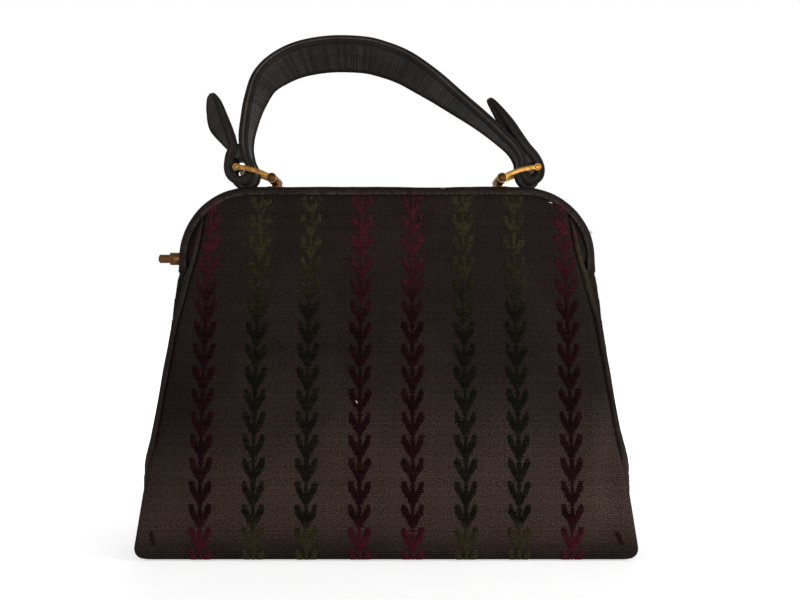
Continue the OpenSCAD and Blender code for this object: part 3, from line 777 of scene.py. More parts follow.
def ground_material(name, finishes, shade=1.0):
    """Brown-black ribbed cloth, lighter over the full part of the panel as a painted highlight, and in rubbed patches
    at random.
    """
    material, tree, shader, where = new_material(name, 0.72, 0.06, 0.0)
    place = tree.parts(where["Object"])
    rib = tree.ramp(place[2], 0.10, 0.18, 0.72, 0.30)
    weave = place_group(
        tree, "ribbed weave", weave_group,
        {"Vector": where["UV"], "Across": 0.00108, "Along": 0.00132, "Rib": rib, "Streak": 0.06}
    )
    rubbed = place_group(tree, "rubbed patches", rubbing_group, {"Vector": where["Object"], "Scale": 26.0})
    # Painted highlight: an arch over the full lower part of the panel, shifted to the right, where light glances off
    # the bulge.
    off = tree.math("ABSOLUTE", tree.less(place[0], 0.034))
    side = tree.times(tree.math("POWER", off, 2.0), 1.1)
    arch = tree.math("POWER", tree.ramp(tree.plus(place[2], side), 0.150, 0.034), 1.55)
    full = tree.times(arch, tree.ramp(place[2], 0.000, 0.026))
    patch = tree.times(tree.less(rubbed["Patch"], 0.5), 0.30)
    # The painted highlight and the random rubbed patches share one mix.
    share = tree.plus(full, patch, clamp=True)
    deep, pale = ([c * shade for c in tone] for tone in (finishes.ground, finishes.ground_highlight_and_rubbed))
    base = tree.mix(share, rgba(deep), rgba(pale))
    thread = tree.ramp(weave["Thread"], 0.28, 0.72, 0.22, 1.95)
    # Painted shade in the hollows between the threads and a painted highlight on their tops.
    light = tree.ramp(weave["Height"], 0.1, 0.9, 0.72, 1.16)
    gain = tree.times(thread, light)
    # Painted shade and painted highlights along the panel's edges.
    gain = tree.times(gain, edge_painted_light(tree, place))
    cloth = tree.shade(base, gain)
    cloth = tree.mix(tree.times(rubbed["Speck"], 0.10), cloth, (0.09, 0.075, 0.062, 1))
    tree.link(cloth, shader.inputs["Base Color"])
    tree.link(tree.ramp(weave["Height"], 0.0, 1.0, 0.74, 0.54), shader.inputs["Roughness"])
    bump(tree, shader, weave["Height"], 0.55, 0.00022)
    return material


def pile_material(name, worn, deep, ground):
    """Cut pile, pale towards the frame and the base edge and deep between: partly rubbed pile, partly painted sheen
    where the cloth leans back at the top and turns under at the base.
    """
    material, tree, shader, where = new_material(name, 0.9, 0.03, 0.0)
    place = tree.parts(where["Object"])
    mark = tree.parts(tree.attribute("rib_mark", "Vector"))
    patch = tree.times(tree.less(tree.noise(where["Object"], 90.0, 4.0), 0.5), 0.050)
    height = tree.plus(place[2], patch)
    # Paler towards the top and the base edge: partly worn pile, partly painted sheen.
    high = tree.ramp(height, 0.130, 0.204)
    low = tree.ramp(tree.plus(place[2], tree.times(patch, 0.45)), 0.030, 0.010)
    share = tree.plus(high, low, clamp=True)
    share = tree.plus(share, tree.times(mark[0], 0.09))
    share = tree.plus(share, tree.times(tree.less(mark[2], 0.5), 0.24))
    fibre = tree.noise(where["Object"], 1500.0, 4.0, 0.75)
    share = tree.plus(share, tree.times(tree.less(fibre, 0.5), 0.6), clamp=True)
    base = tree.mix(share, rgba(deep), rgba(worn))
    thin = tree.ramp(tree.noise(where["Object"], 330.0, 4.0, 0.7), 0.36, 0.64)
    bare = tree.times(thin, tree.ramp(place[2], 0.11, 0.20, 0.0, 0.80))
    bare = tree.plus(bare, mark[1], clamp=True)
    base = tree.mix(bare, base, rgba(ground))
    gain = tree.ramp(fibre, 0.30, 0.70, 0.26, 1.72)
    gain = tree.times(gain, tree.ramp(place[2], 0.012, 0.034, 0.80, 1.0))
    tree.link(tree.shade(base, gain), shader.inputs["Base Color"])
    tree.link(tree.ramp(fibre, 0.2, 0.8, 0.72, 0.95), shader.inputs["Roughness"])
    bump(tree, shader, fibre, 0.6, 0.0003)
    return material


def strap_material(name, finishes):
    """Grey-black grosgrain with fine ribs across the strap and a paler seam between its welts."""
    material, tree, shader, where = new_material(name, 0.62, 0.12, 0.0)
    weave = place_group(
        tree, "ribbed weave", weave_group,
        {"Vector": where["UV"], "Across": 0.00050, "Along": 0.00112, "Rib": 0.85, "Streak": 0.34}
    )
    rubbed = place_group(tree, "rubbed patches", rubbing_group, {"Vector": where["Object"], "Scale": 45.0})
    seam = tree.attribute("seam")
    edge = tree.attribute("welt")
    thread = tree.ramp(weave["Thread"], 0.25, 0.75, 0.45, 1.70)
    # Painted shade in the hollows between the ribs and a painted highlight on their crowns.
    rib = tree.ramp(weave["Height"], 0.05, 0.95, 0.58, 1.30)
    ribbed = tree.less(tree.times(thread, rib), 1.0)
    calm = tree.less(1.0, tree.times(edge, 0.72))
    gain = tree.plus(tree.times(ribbed, calm), 1.0)
    gain = tree.times(gain, tree.ramp(rubbed["Patch"], 0.0, 1.0, 0.85, 1.25))
    inner = tree.attribute("inner")
    base = tree.mix(edge, rgba(finishes.strap), rgba(finishes.strap_welt))
    base = tree.mix(seam, base, rgba(finishes.seam))
    # The inner value is the plum inner face of the folded ends, and also painted shade on the left tab's outer face.
    base = tree.mix(tree.times(inner, 0.8), base, rgba(finishes.strap_inner))
    tree.link(tree.shade(base, gain), shader.inputs["Base Color"])
    tree.link(tree.ramp(weave["Height"], 0.0, 1.0, 0.70, 0.50), shader.inputs["Roughness"])
    bump(tree, shader, weave["Height"], 0.6, 0.0003)
    return material


def plain_cloth_material(name, tone, across, along, sheen=0.0):
    """Fine cloth in one colour with its threads and rubbed patches."""
    material, tree, shader, where = new_material(name, 0.66, 0.08, sheen)
    weave = place_group(
        tree, "ribbed weave", weave_group,
        {"Vector": where["UV"], "Across": across, "Along": along, "Rib": 0.5}
    )
    rubbed = place_group(tree, "rubbed patches", rubbing_group, {"Vector": where["Object"], "Scale": 60.0})
    thread = tree.ramp(weave["Thread"], 0.2, 0.8, 0.6, 1.45)
    gain = tree.times(thread, tree.ramp(rubbed["Patch"], 0.0, 1.0, 0.75, 1.3))
    tree.link(tree.shade(rgba(tone), gain), shader.inputs["Base Color"])
    tree.link(tree.ramp(weave["Height"], 0.0, 1.0, 0.74, 0.56), shader.inputs["Roughness"])
    bump(tree, shader, weave["Height"], 0.5, 0.0002)
    return material


def cover_material(name, finishes):
    """The figured cloth where it is wrapped over the frame and the piping, with a paler fold."""
    material = plain_cloth_material(name, [c * 1.25 for c in finishes.ground], 0.0007, 0.0011)
    tree = Tree(material.node_tree)
    shader = material.node_tree.nodes["Principled BSDF"]
    tone = shader.inputs["Base Color"].links[0].from_socket
    where = tree.node("ShaderNodeTexCoord").outputs
    worn = tree.ramp(tree.noise(where["Object"], 500.0, 4.0, 0.7), 0.36, 0.64)
    for mark, paint, most in (
        ("edge", finishes.fold, 0.9), ("red_bit", finishes.crimson, 0.9), ("green_bit", finishes.olive, 1.0)
    ):
        found = tree.attribute(mark)
        share = tree.times(tree.times(found, worn), most, clamp=True)
        tone = tree.mix(share, tone, rgba(paint))
    tree.link(tone, shader.inputs["Base Color"])
    return material


def metal_material(name, bright, dull, roughness, stain_share):
    """Old metal with stains, a brushed sheen and fine scratches."""
    material, tree, shader, where = new_material(name, roughness, 0.5)
    shader.inputs["Metallic"].default_value = 1.0
    tarnish = place_group(tree, "tarnish", tarnish_group, {"Vector": where["Object"], "Scale": 420.0})
    share = tree.times(tarnish["Stain"], stain_share)
    tree.link(tree.mix(share, rgba(bright), rgba(dull)), shader.inputs["Base Color"])
    rough = tree.plus(tree.times(tarnish["Stain"], 0.22), roughness)
    rough = tree.plus(rough, tree.times(tarnish["Scratch"], 0.10))
    tree.link(rough, shader.inputs["Roughness"])
    bump(tree, shader, tarnish["Scratch"], 0.12, 0.0001)
    return material


def board_material(name):
    """Grey-brown pressed board with loose fibres."""
    material, tree, shader, where = new_material(name, 0.9, 0.1)
    fibre = tree.noise(where["Object"], 700.0, 5.0, 0.7)
    tree.link(tree.mix(fibre, (0.10, 0.075, 0.05, 1), (0.24, 0.19, 0.13, 1)), shader.inputs["Base Color"])
    bump(tree, shader, fibre, 0.3, 0.0002)
    return material


def lint_material(name):
    """White fibres caught on the cloth."""
    material, tree, shader, where = new_material(name, 0.9, 0.1, 0.3)
    fibre = tree.noise(where["Object"], 3000.0, 2.0)
    tree.link(tree.mix(fibre, (0.62, 0.58, 0.52, 1), (0.9, 0.87, 0.82, 1)), shader.inputs["Base Color"])
    return material


def finish(name):
    """The material of that name, built the first time that it is asked for."""
    look = f"{name}_look"
    found = bpy.data.materials.get(look)
    if found:
        return found
    tones = bpy.context.scene.handbag_finishes
    dim_bronze = [c * 0.5 for c in tones.bronze]
    makers = {
        "ground_cloth": (ground_material, tones, 1.0),
        # The gusset cloth is the ground cloth painted a tenth darker: painted shade for the sides, which face away
        # from the light.
        "gusset_cloth": (ground_material, tones, 0.9),
        "red_pile": (pile_material, tones.crimson, tones.maroon, tones.ground),
        "green_pile": (pile_material, tones.olive, tones.bottle, tones.ground),
        "strap_cloth": (strap_material, tones),
        "cover_cloth": (cover_material, tones),
        "lining_cloth": (plain_cloth_material, tones.lining, 0.0004, 0.0004, 0.05),
        "brass": (metal_material, tones.brass, (0.16, 0.075, 0.025), 0.24, 0.75),
        "bronzed_brass": (metal_material, tones.bronze, (0.10, 0.05, 0.024), 0.34, 0.8),
        "dark_bronze": (metal_material, dim_bronze, (0.035, 0.018, 0.010), 0.36, 0.8),
        "steel": (metal_material, tones.steel, (0.20, 0.17, 0.14), 0.32, 0.6),
        "board": (board_material,),
        "lint": (lint_material,),
    }
    maker, *given = makers[name]
    return maker(look, *given)


# Pieces


class HANDBAG_OT_stage(bpy.types.Operator):
    """Makes the camera, the soft light and the pale floor"""

    bl_idname = "handbag.stage"
    bl_label = "Stage"

    lens_mm = 44.82
    eye = (0.008, -0.620, 0.1514)
    # Name, place, height of the point on the middle line that it looks at, size and power
    lights = (
        ("front_softbox", (0.46, -1.38, 0.26), 0.11, (1.6, 0.5), 7.7),
        ("left_softbox", (-1.1, -0.30, 0.60), 0.15, (0.8, 0.8), 2.4),
        ("right_softbox", (1.1, -0.45, 0.50), 0.12, (0.8, 0.8), 6.0),
        ("rear_softbox", (0.0, 1.1, 0.80), 0.15, (1.0, 0.7), 4.0),
    )

    def execute(self, context):
        scene = context.scene
        scene.view_settings.view_transform = "Standard"
        lens = bpy.data.cameras.new("camera")
        lens.sensor_width = 36
        lens.lens = self.lens_mm
        camera = bpy.data.objects.new("camera", lens)
        camera.location = self.eye
        camera.rotation_euler = (math.radians(90), 0, 0)
        scene.collection.objects.link(camera)
        scene.camera = camera
        for light in self.lights:
            self.light(*light)
        self.world(scene)
        self.floor()
        return {"FINISHED"}

    def light(self, name, place, aim_z, size, power):
        lamp = bpy.data.lights.new(name, "AREA")
        lamp.shape = "RECTANGLE"
        lamp.size, lamp.size_y = size
        lamp.energy = power
        obj = bpy.data.objects.new(name, lamp)
        obj.location = place
        obj.rotation_mode = "QUATERNION"
        obj.rotation_quaternion = (Vector((0, 0, aim_z)) - Vector(place)).to_track_quat("-Z", "Y")
        bpy.context.scene.collection.objects.link(obj)

    def world(self, scene):
        world = bpy.data.worlds.new("studio")
        scene.world = world
        world.use_nodes = True
        world.node_tree.nodes.clear()
        tree = Tree(world.node_tree)
        rays = tree.node("ShaderNodeLightPath").outputs
        seen = tree.math("MAXIMUM", rays["Is Camera Ray"], rays["Is Transmission Ray"])
        seen = tree.math("MAXIMUM", seen, tree.times(rays["Is Glossy Ray"], 0.10))
        strength = tree.ramp(seen, 0.0, 1.0, 0.25, 1.0)
        back = tree.node("ShaderNodeBackground", {"Color": (1, 1, 1, 1), "Strength": strength})
        out = tree.node("ShaderNodeOutputWorld")
        tree.link(back.outputs[0], out.inputs[0])

    def floor(self):
        mesh = bpy.data.meshes.new("floor")
        build = bmesh.new()
        bmesh.ops.create_circle(build, cap_ends=True, radius=6.0, segments=96)
        build.to_mesh(mesh)
        build.free()
        material, tree, shader, where = new_material("pale_floor", 0.9, 0.05)
        grain = tree.noise(where["Object"], 40.0, 3.0)
        tree.link(tree.mix(grain, (0.86, 0.86, 0.86, 1), (0.90, 0.90, 0.90, 1)), shader.inputs["Base Color"])
        rays = tree.node("ShaderNodeLightPath").outputs
        far = tree.node("ShaderNodeVectorMath", {0: where["Object"]}, operation="LENGTH").outputs["Value"]
        glow = tree.ramp(far, 0.14, 0.50, 0.58, 1.0)
        shader.inputs["Emission Color"].default_value = (1, 1, 1, 1)
        tree.link(tree.times(rays["Is Camera Ray"], glow), shader.inputs["Emission Strength"])
        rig.stage(new_piece("floor", mesh, material, shade=False))


class HANDBAG_OT_panels(bpy.types.Operator):
    """Makes the front and rear panels: stiffened cloth from under the base up into the frame"""

    bl_idname = "handbag.panels"
    bl_label = "Panels"

    def execute(self, context):
        sizes = context.scene.handbag_body
        form = BodyForm(sizes)
        across = form.panel_edge(form.panel_top)

        def place(row, column):
            s = 2 * column - 1
            along = row * form.along_at(form.top_edge(s * across))
            x = s * form.panel_edge(form.at(along)[1])
            return form.panel_point(x, along)

        def unwrap(row, column):
            s = 2 * column - 1
            along = row * form.along_at(form.top_edge(s * across))
            return (s * form.panel_edge(form.at(along)[1]), along)

        mesh = grid_mesh("front_cloth", 130, 110, place, unwrap)
        face_away(mesh, Vector((0, 0.05, 0.1)))
        rear = mirrored(mesh, "rear_cloth", y=-1)
        for name, sheet, front in (("front", mesh, True), ("rear", rear, False)):
            obj = new_piece(f"{name}_cloth", sheet, finish("ground_cloth"))
            thicken(obj, sizes.panel_t)
            declare_sheet(obj, sheet, "stretched", f"{name}_frame", "bottom_board")
            follow_half(obj, front)
            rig.replaces(obj, f"{name}_panel", f"{name}_panel_top")
            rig.slot(obj, "ground_cloth")
        return {"FINISHED"}


def leaf_bars(v, half):
    """Bars of pile across a leaf pair at height share v, as (middle, half length)."""
    outer = half * (0.20 + 0.78 * smooth(-0.15, 0.76, v) - 0.04 * smooth(0.88, 1.0, v))
    stem = 0.18 * half
    if v < 0.55:
        return [(0.0, outer)]
    inner = half * blend_value(0.23, 0.62, (v - 0.55) / 0.45)
    lobe = (inner + outer) / 2, (outer - inner) / 2
    return [(0.0, stem), (lobe[0], lobe[1]), (-lobe[0], lobe[1])]


def rib_object():
    """One rib of pile: a low rounded bar, one metre to each end."""
    stations = ((-1.0, 0.55), (-0.86, 1.0), (0.86, 1.0), (1.0, 0.55))
    angles = [math.radians(a) for a in (-20, 35, 90, 145, 200)]
    points = []
    for x, r in stations:
        for a in angles:
            points.append((x, r * math.cos(a), r * math.sin(a)))
    faces = []
    for j in range(3):
        for i in range(4):
            faces.append((j * 5 + i, (j + 1) * 5 + i, (j + 1) * 5 + i + 1, j * 5 + i + 1))
        faces.append((j * 5 + 4, (j + 1) * 5 + 4, (j + 1) * 5, j * 5))
    faces.append((0, 1, 2, 3, 4))
    faces.append((19, 18, 17, 16, 15))
    mesh = bpy.data.meshes.new("pile_rib")
    mesh.from_pydata(points, [], faces)
    close_outward(mesh)
    mesh.shade_smooth()
    return bpy.data.objects.new("pile_rib", mesh)


def pile_tree():
    """Geometry nodes that set a rib of pile on every point, at its own size and turn."""
    group = bpy.data.node_groups.new("pile ribs", "GeometryNodeTree")
    face = group.interface
    for label, kind in (
        ("Geometry", "Geometry"), ("Rib", "Object"), ("Pile height", "Float"), ("Finish", "Material")
    ):
        face.new_socket(label, in_out="INPUT", socket_type=f"NodeSocket{kind}")
    face.new_socket("Geometry", in_out="OUTPUT", socket_type="NodeSocketGeometry")
    tree = Tree(group)
    given = tree.node("NodeGroupInput").outputs
    out = tree.node("NodeGroupOutput").inputs
    rib = tree.node("GeometryNodeObjectInfo", {"Object": given["Rib"]})
    size = tree.node("GeometryNodeInputNamedAttribute", {"Name": "rib_size"}, data_type="FLOAT_VECTOR")
    turn = tree.node("GeometryNodeInputNamedAttribute", {"Name": "rib_turn"}, data_type="FLOAT_VECTOR")
    tall = tree.node("ShaderNodeCombineXYZ", {0: 1.0, 1: 1.0, 2: given["Pile height"]})
    scale = tree.node(
        "ShaderNodeVectorMath", {0: size.outputs["Attribute"], 1: tall.outputs[0]}, operation="MULTIPLY"
    )
    spin = tree.node("FunctionNodeEulerToRotation", {0: turn.outputs["Attribute"]})
    placed = tree.node(
        "GeometryNodeInstanceOnPoints",
        {
            "Points": given["Geometry"],
            "Instance": rib.outputs["Geometry"],
            "Rotation": spin.outputs[0],
            "Scale": scale.outputs[0],
        },
    )
    real = tree.node("GeometryNodeRealizeInstances", {0: placed.outputs[0]})
    done = tree.node("GeometryNodeSetMaterial", {"Geometry": real.outputs[0], "Material": given["Finish"]})
    tree.link(done.outputs[0], out[0])
    return group


def grow_pile(name, spots, rib, tree, height, material):
    """A piece of pile from its spots: place, size factors, turn and mark of every rib."""
    mesh = bpy.data.meshes.new(name)
    mesh.from_pydata([spot[0] for spot in spots], [], [])
    for index, label in enumerate(("rib_size", "rib_turn", "rib_mark"), start=1):
        values = [value for spot in spots for value in spot[index]]
        mesh.attributes.new(label, "FLOAT_VECTOR", "POINT").data.foreach_set("vector", values)
    obj = new_piece(name, mesh, material, shade=False)
    modifier = obj.modifiers.new("pile", "NODES")
    modifier.node_group = tree
    sockets = {item.name: item.identifier for item in tree.interface.items_tree if item.in_out == "INPUT"}
    modifier[sockets["Rib"]] = rib
    modifier[sockets["Pile height"]] = height
    modifier[sockets["Finish"]] = material
    return settle_modifiers(obj)


class HANDBAG_OT_pile(bpy.types.Operator):
    """Sets the cut-pile leaf stripes, rib by rib, on the panels and the gussets"""

    bl_idname = "handbag.pile"
    bl_label = "Leaf pile"

    base_margin = 6.5 * MM
    seam_margin = 1.6 * MM
    frame_margin = 1.2 * MM
    smear_middle = 19.5 * MM
    smear_reach = 5 * MM
    smear_half = 1.8 * MM
    most_faded = 0.9

    def execute(self, context):
        self.leaf = context.scene.handbag_leaf
        self.form = BodyForm(context.scene.handbag_body)
        self.chance = random.Random(17)
        rib = rib_object()
        tree = pile_tree()
        gap = self.leaf.column_gap
        columns = {"red": (0.5, 3.5, 4.5), "green": (1.5, 2.5)}
        for tone, steps in columns.items():
            spots = []
            for step in steps:
                for side in (-1, 1):
                    spots += self.panel_column(side * step * gap)
            if tone == "green":
                for side in (-1, 1):
                    spots += self.gusset_column(side)
            for front in (True, False):
                end = "front" if front else "rear"
                placed = spots if front else [self.turned(spot) for spot in spots]
                obj = grow_pile(
                    f"{end}_pile_{tone}", placed, rib, tree, self.leaf.pile, finish(f"{tone}_pile")
                )
                follow_half(obj, front)
                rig.replaces(obj, f"{end}_leaves_{tone}", f"{end}_top_leaves_{tone}")
                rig.slot(obj, f"{tone}_pile")
        bpy.data.objects.remove(rib)
        return {"FINISHED"}

    def turned(self, spot):
        """The same rib on the rear of the bag."""
        place, size, turn, mark = spot
        return (-place[0], -place[1], place[2]), size, (turn[0], turn[1], turn[2] + math.pi), mark

    def spot(self, point, u, v, half, wear, tip, fade):
        """A rib on the cloth, its length along u, standing on the plane of u and v.

        Its mark holds how near it is to a leaf's tip, how far it has faded and a chance value.
        """
        right = u.normalized()
        normal = right.cross(v).normalized()
        up = normal.cross(right)
        turn = Matrix((right, up, normal)).transposed().to_euler()
        thick = 0.51 * self.leaf.pitch / self.leaf.ribs
        tall = (1 - 0.6 * wear) * self.chance.uniform(0.8, 1.15)
        long = max(0.5 * MM, half + self.chance.uniform(-0.50, 0.40) * MM)
        return tuple(point), (long, thick, tall), tuple(turn), (tip, fade, self.chance.random())

    def panel_column(self, x):
        """Ribs of one column on the front panel, from the base edge to the frame."""
        form, leaf = self.form, self.leaf
        first = form.along_at(form.split_z) + leaf.phase
        spots = []
        for row in range(-14, 4):
            for k in range(leaf.ribs):
                v = (k + 0.5) / leaf.ribs
                along = first + (row + v) * leaf.pitch
                if along < self.base_margin:
                    continue
                if abs(x) > 4 * leaf.column_gap:
                    spots += self.smudge_rib(x, along)
                    continue
                for middle, half in leaf_bars(v, leaf.half):
                    spots += self.panel_rib(x + middle, half, along, smooth(0.35, 0.95, v), 0.0)
        return spots

    def smudge_rib(self, x, along):
        """One rib of the faded smear that is all an outer column leaves near the base."""
        past = (along - self.smear_middle) / self.smear_reach
        ragged = 0.75 + 0.3 * waver(along * 900, x * 40, 0.3)
        half = self.smear_half * ragged * math.sqrt(max(0.0, 1 - past * past))
        middle = 135.2 * MM - 2.4 * MM * past if x > 0 else -135.4 * MM - 0.9 * MM * past
        return self.panel_rib(middle, half, along, 5.0, 0.76 + 0.2 * abs(past))

    def panel_rib(self, x, half, along, tip, fade):
        """One rib on the front panel, cut short at the panel's edge."""
        form = self.form
        z = form.at(along)[1]
        edge = form.panel_edge(z) - self.seam_margin
        low, high = max(x - half, -edge), min(x + half, edge)
        wear = smooth(0.13, 0.19, z)
        if high - low < 1.0 * MM or fade > self.most_faded:
            return []
        middle = (low + high) / 2
        if z > form.top_edge(middle) - form.tuck - self.frame_margin:
            return []
        point = form.panel_point(middle, along)
        step = 0.5 * MM
        u = form.panel_point(middle + step, along) - point
        v = form.panel_point(middle, along + step) - point
        return [self.spot(point, u, v, (high - low) / 2, wear, tip, fade)]

    def gusset_column(self, side):
        """Ribs of one column down the front half of a gusset."""
        form, leaf = self.form, self.leaf
        spots = []
        for row in range(0, 15):
            for k in range(leaf.ribs):
                v = (k + 0.5) / leaf.ribs
                z = 6 * MM + (row + v) * leaf.pitch
                deep = form.half_depth(z)
                for middle, half in self.short_bars(leaf_bars(v, leaf.half)):
                    t = 1 - (leaf.column_gap / 2 - middle) / deep
                    if t < 0.10 or t > 0.96 or z > 0.196:
                        continue
                    point = form.gusset_point(z, t)
                    u = form.gusset_point(z, t + 0.01) - point
                    w = form.gusset_point(z + 0.4 * MM, t) - point
                    if side < 0:
                        point, u, w = (Vector((-p.x, p.y, p.z)) for p in (point, u, w))
                        u = -u
                    spots.append(self.spot(point, u, w, half, 0.9, smooth(0.35, 0.95, v), 0.35))
        return spots

    def short_bars(self, bars):
        """The same bars cut short, so that they lie on a curved cloth."""
        out = []
        for middle, half in bars:
            count = max(1, round(half / (1.3 * MM)))
            step = 2 * half / count
            out += [(middle - half + (k + 0.5) * step, step / 2) for k in range(count)]
        return out


class HANDBAG_OT_gussets(bpy.types.Operator):
    """Makes the side gussets, each in a front and a rear half that meet at the middle fold"""

    bl_idname = "handbag.gussets"
    bl_label = "Gussets"

    def execute(self, context):
        sizes = context.scene.handbag_body
        form = BodyForm(sizes)
        low = 2.6 * MM
        high = HINGE_Z + 26 * MM

        def place(row, column):
            return form.gusset_point(blend_value(low, high, row), column)

        def unwrap(row, column):
            z = blend_value(low, high, row)
            return (form.half_depth(z) * column, z)

        mesh = grid_mesh("gusset", 120, 26, place, unwrap)
        face_away(mesh, Vector((0, 0, 0.1)))
        for side, x in SIDES:
            for end, y in ENDS:
                name = f"{side}_gusset_{end}"
                obj = new_piece(name, mirrored(mesh, name, x, y), finish("gusset_cloth"))
                thicken(obj, sizes.gusset_t)
                declare_sheet(obj, mesh, "stretched", f"{end}_{side}_piping")
                follow_half(obj, end == "front")
                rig.replaces(obj, f"{side}_gusset", f"{end}_{side}_wing")
                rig.slot(obj, "gusset_cloth")
        return {"FINISHED"}


def tube_mesh(name, path, radius, sides=10, taper=None):
    """A tube along a path of points, with UVs in metres and closed ends."""
    frames = []
    for i, point in enumerate(path):
        ahead = path[min(i + 1, len(path) - 1)] - path[max(i - 1, 0)]
        ahead.normalize()
        side = ahead.cross(Vector((0, -1, 0)))
        if side.length < 0.1:
            side = ahead.cross(Vector((1, 0, 0)))
        side.normalize()
        frames.append((point, side, side.cross(ahead).normalized()))
    runs = [0.0]
    for a, b in zip(path, path[1:]):
        runs.append(runs[-1] + (b - a).length)
    rows = len(path) - 1

    def place(row, column):
        i = round(row * rows)
        point, side, up = frames[i]
        a = 2 * math.pi * column
        r = radius * (taper(i / rows) if taper else 1)
        return point + r * (math.cos(a) * side + math.sin(a) * up)

    def unwrap(row, column):
        return (2 * math.pi * radius * column, runs[round(row * rows)])

    mesh = grid_mesh(name, rows, sides, place, unwrap, closed=True)
    cap_ends(mesh, rows, sides)
    close_outward(mesh)
    return mesh


def joined(name, meshes):
    """Several meshes as one."""
    build = bmesh.new()
    for mesh in meshes:
        build.from_mesh(mesh)
    out = bpy.data.meshes.new(name)
    build.to_mesh(out)
    build.free()
    return out


class HANDBAG_OT_piping(bpy.types.Operator):
    """Makes the welts along the side seams: a round piping and the narrow ridge beside it"""

    bl_idname = "handbag.piping"
    bl_label = "Piping"

    def execute(self, context):
        form = BodyForm(context.scene.handbag_body)
        r, ridge_r = 1.45 * MM, 0.75 * MM
        low, high = 7 * MM, HINGE_Z + 24 * MM
        heights = [blend_value(low, high, i / 90) for i in range(91)]
        welt = [self.spot(form, z, r, 0.1 * MM, 0.2 * MM) for z in heights]
        ridge = [self.spot(form, z, ridge_r, 2.3 * MM, 1.9 * MM) for z in heights[:78]]

        def ends(t):
            return 0.35 + 0.65 * smooth(0.0, 0.02, t) * (1 - smooth(0.94, 1.0, t))

        tubes = [tube_mesh("welt", welt, r, 10, ends), tube_mesh("ridge", ridge, ridge_r, 8, ends)]
        mesh = joined("piping", tubes)
        for side, x in SIDES:
            for end, y in ENDS:
                name = f"{end}_{side}_welt"
                obj = new_piece(name, mirrored(mesh, name, x, y), finish("cover_cloth"))
                self.mark(obj.data, 1.0 if x * y > 0 else 0.3)
                follow_half(obj, end == "front")
                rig.replaces(obj, f"{end}_{side}_piping")
                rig.slot(obj, "cover_cloth")
        return {"FINISHED"}

    def mark(self, mesh, most):
        """Notes where the welt's cloth shows a bit of a leaf stripe, and its rubbed crown."""
        shades = {"edge": [], "red_bit": [], "green_bit": []}
        for vertex in mesh.vertices:
            z = vertex.co.z
            red = math.exp(-(((z - 190 * MM) / (5 * MM)) ** 2))
            stripe = smooth(140 * MM, 170 * MM, z) * (1 - smooth(196 * MM, 203 * MM, z))
            stripe += 0.5 * (1 - smooth(70 * MM, 100 * MM, z)) * (noise.noise(vertex.co * 160) > 0.05)
            red += 0.45 * (1 - smooth(60 * MM, 90 * MM, z)) * (noise.noise(vertex.co * 140) < -0.10)
            shades["edge"].append(0.16 * smooth(120 * MM, 185 * MM, z))
            shades["red_bit"].append(most * red)
            shades["green_bit"].append(most * stripe * (1 - min(1.0, red)))
        note_values(mesh, shades)

    def spot(self, form, z, r, out, back):
        wave = waver(z * 60, out * 900, 1.7) * 0.35 * MM
        tucked = 1 - smooth(40 * MM, 70 * MM, z)
        x = form.seam_edge(z) + r + out + wave - 0.9 * MM * tucked
        y = -(form.half_depth(z) - r - back - 2.6 * MM * tucked)
        if z > HINGE_Z:
            y = max(y, -(form.half_depth(z) + 0.2 * MM))
        return Vector((x, y, z))


class HANDBAG_OT_base(bpy.types.Operator):
    """Makes the cloth under the base, soft at its edges"""

    bl_idname = "handbag.base"
    bl_label = "Base"

    def execute(self, context):
        low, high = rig.box("bottom_panel")

        def place(row, column):
            x = blend_value(low[0], high[0], column)
            y = blend_value(low[1], high[1], row)
            from_edge = min(x - low[0], high[0] - x, y - low[1], high[1] - y)
            lift = 1.1 * MM * math.exp(-from_edge / (1.4 * MM))
            return Vector((x, y, low[2] + lift))

        def unwrap(row, column):
            return (blend_value(low[0], high[0], column), blend_value(low[1], high[1], row))

        mesh = grid_mesh("base_cloth", 44, 120, place, unwrap)
        face_away(mesh, Vector((0, 0, 0.1)))
        obj = new_piece("base_cloth", mesh, finish("ground_cloth"))
        declare_sheet(obj, mesh, "stretched", "bottom_board")
        thicken(obj, 1.2 * MM)
        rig.ride(obj, "bag_body")
        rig.replaces(obj, "bottom_panel")
        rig.slot(obj, "ground_cloth")
        dress_node("bottom_board", "board")
        return {"FINISHED"}


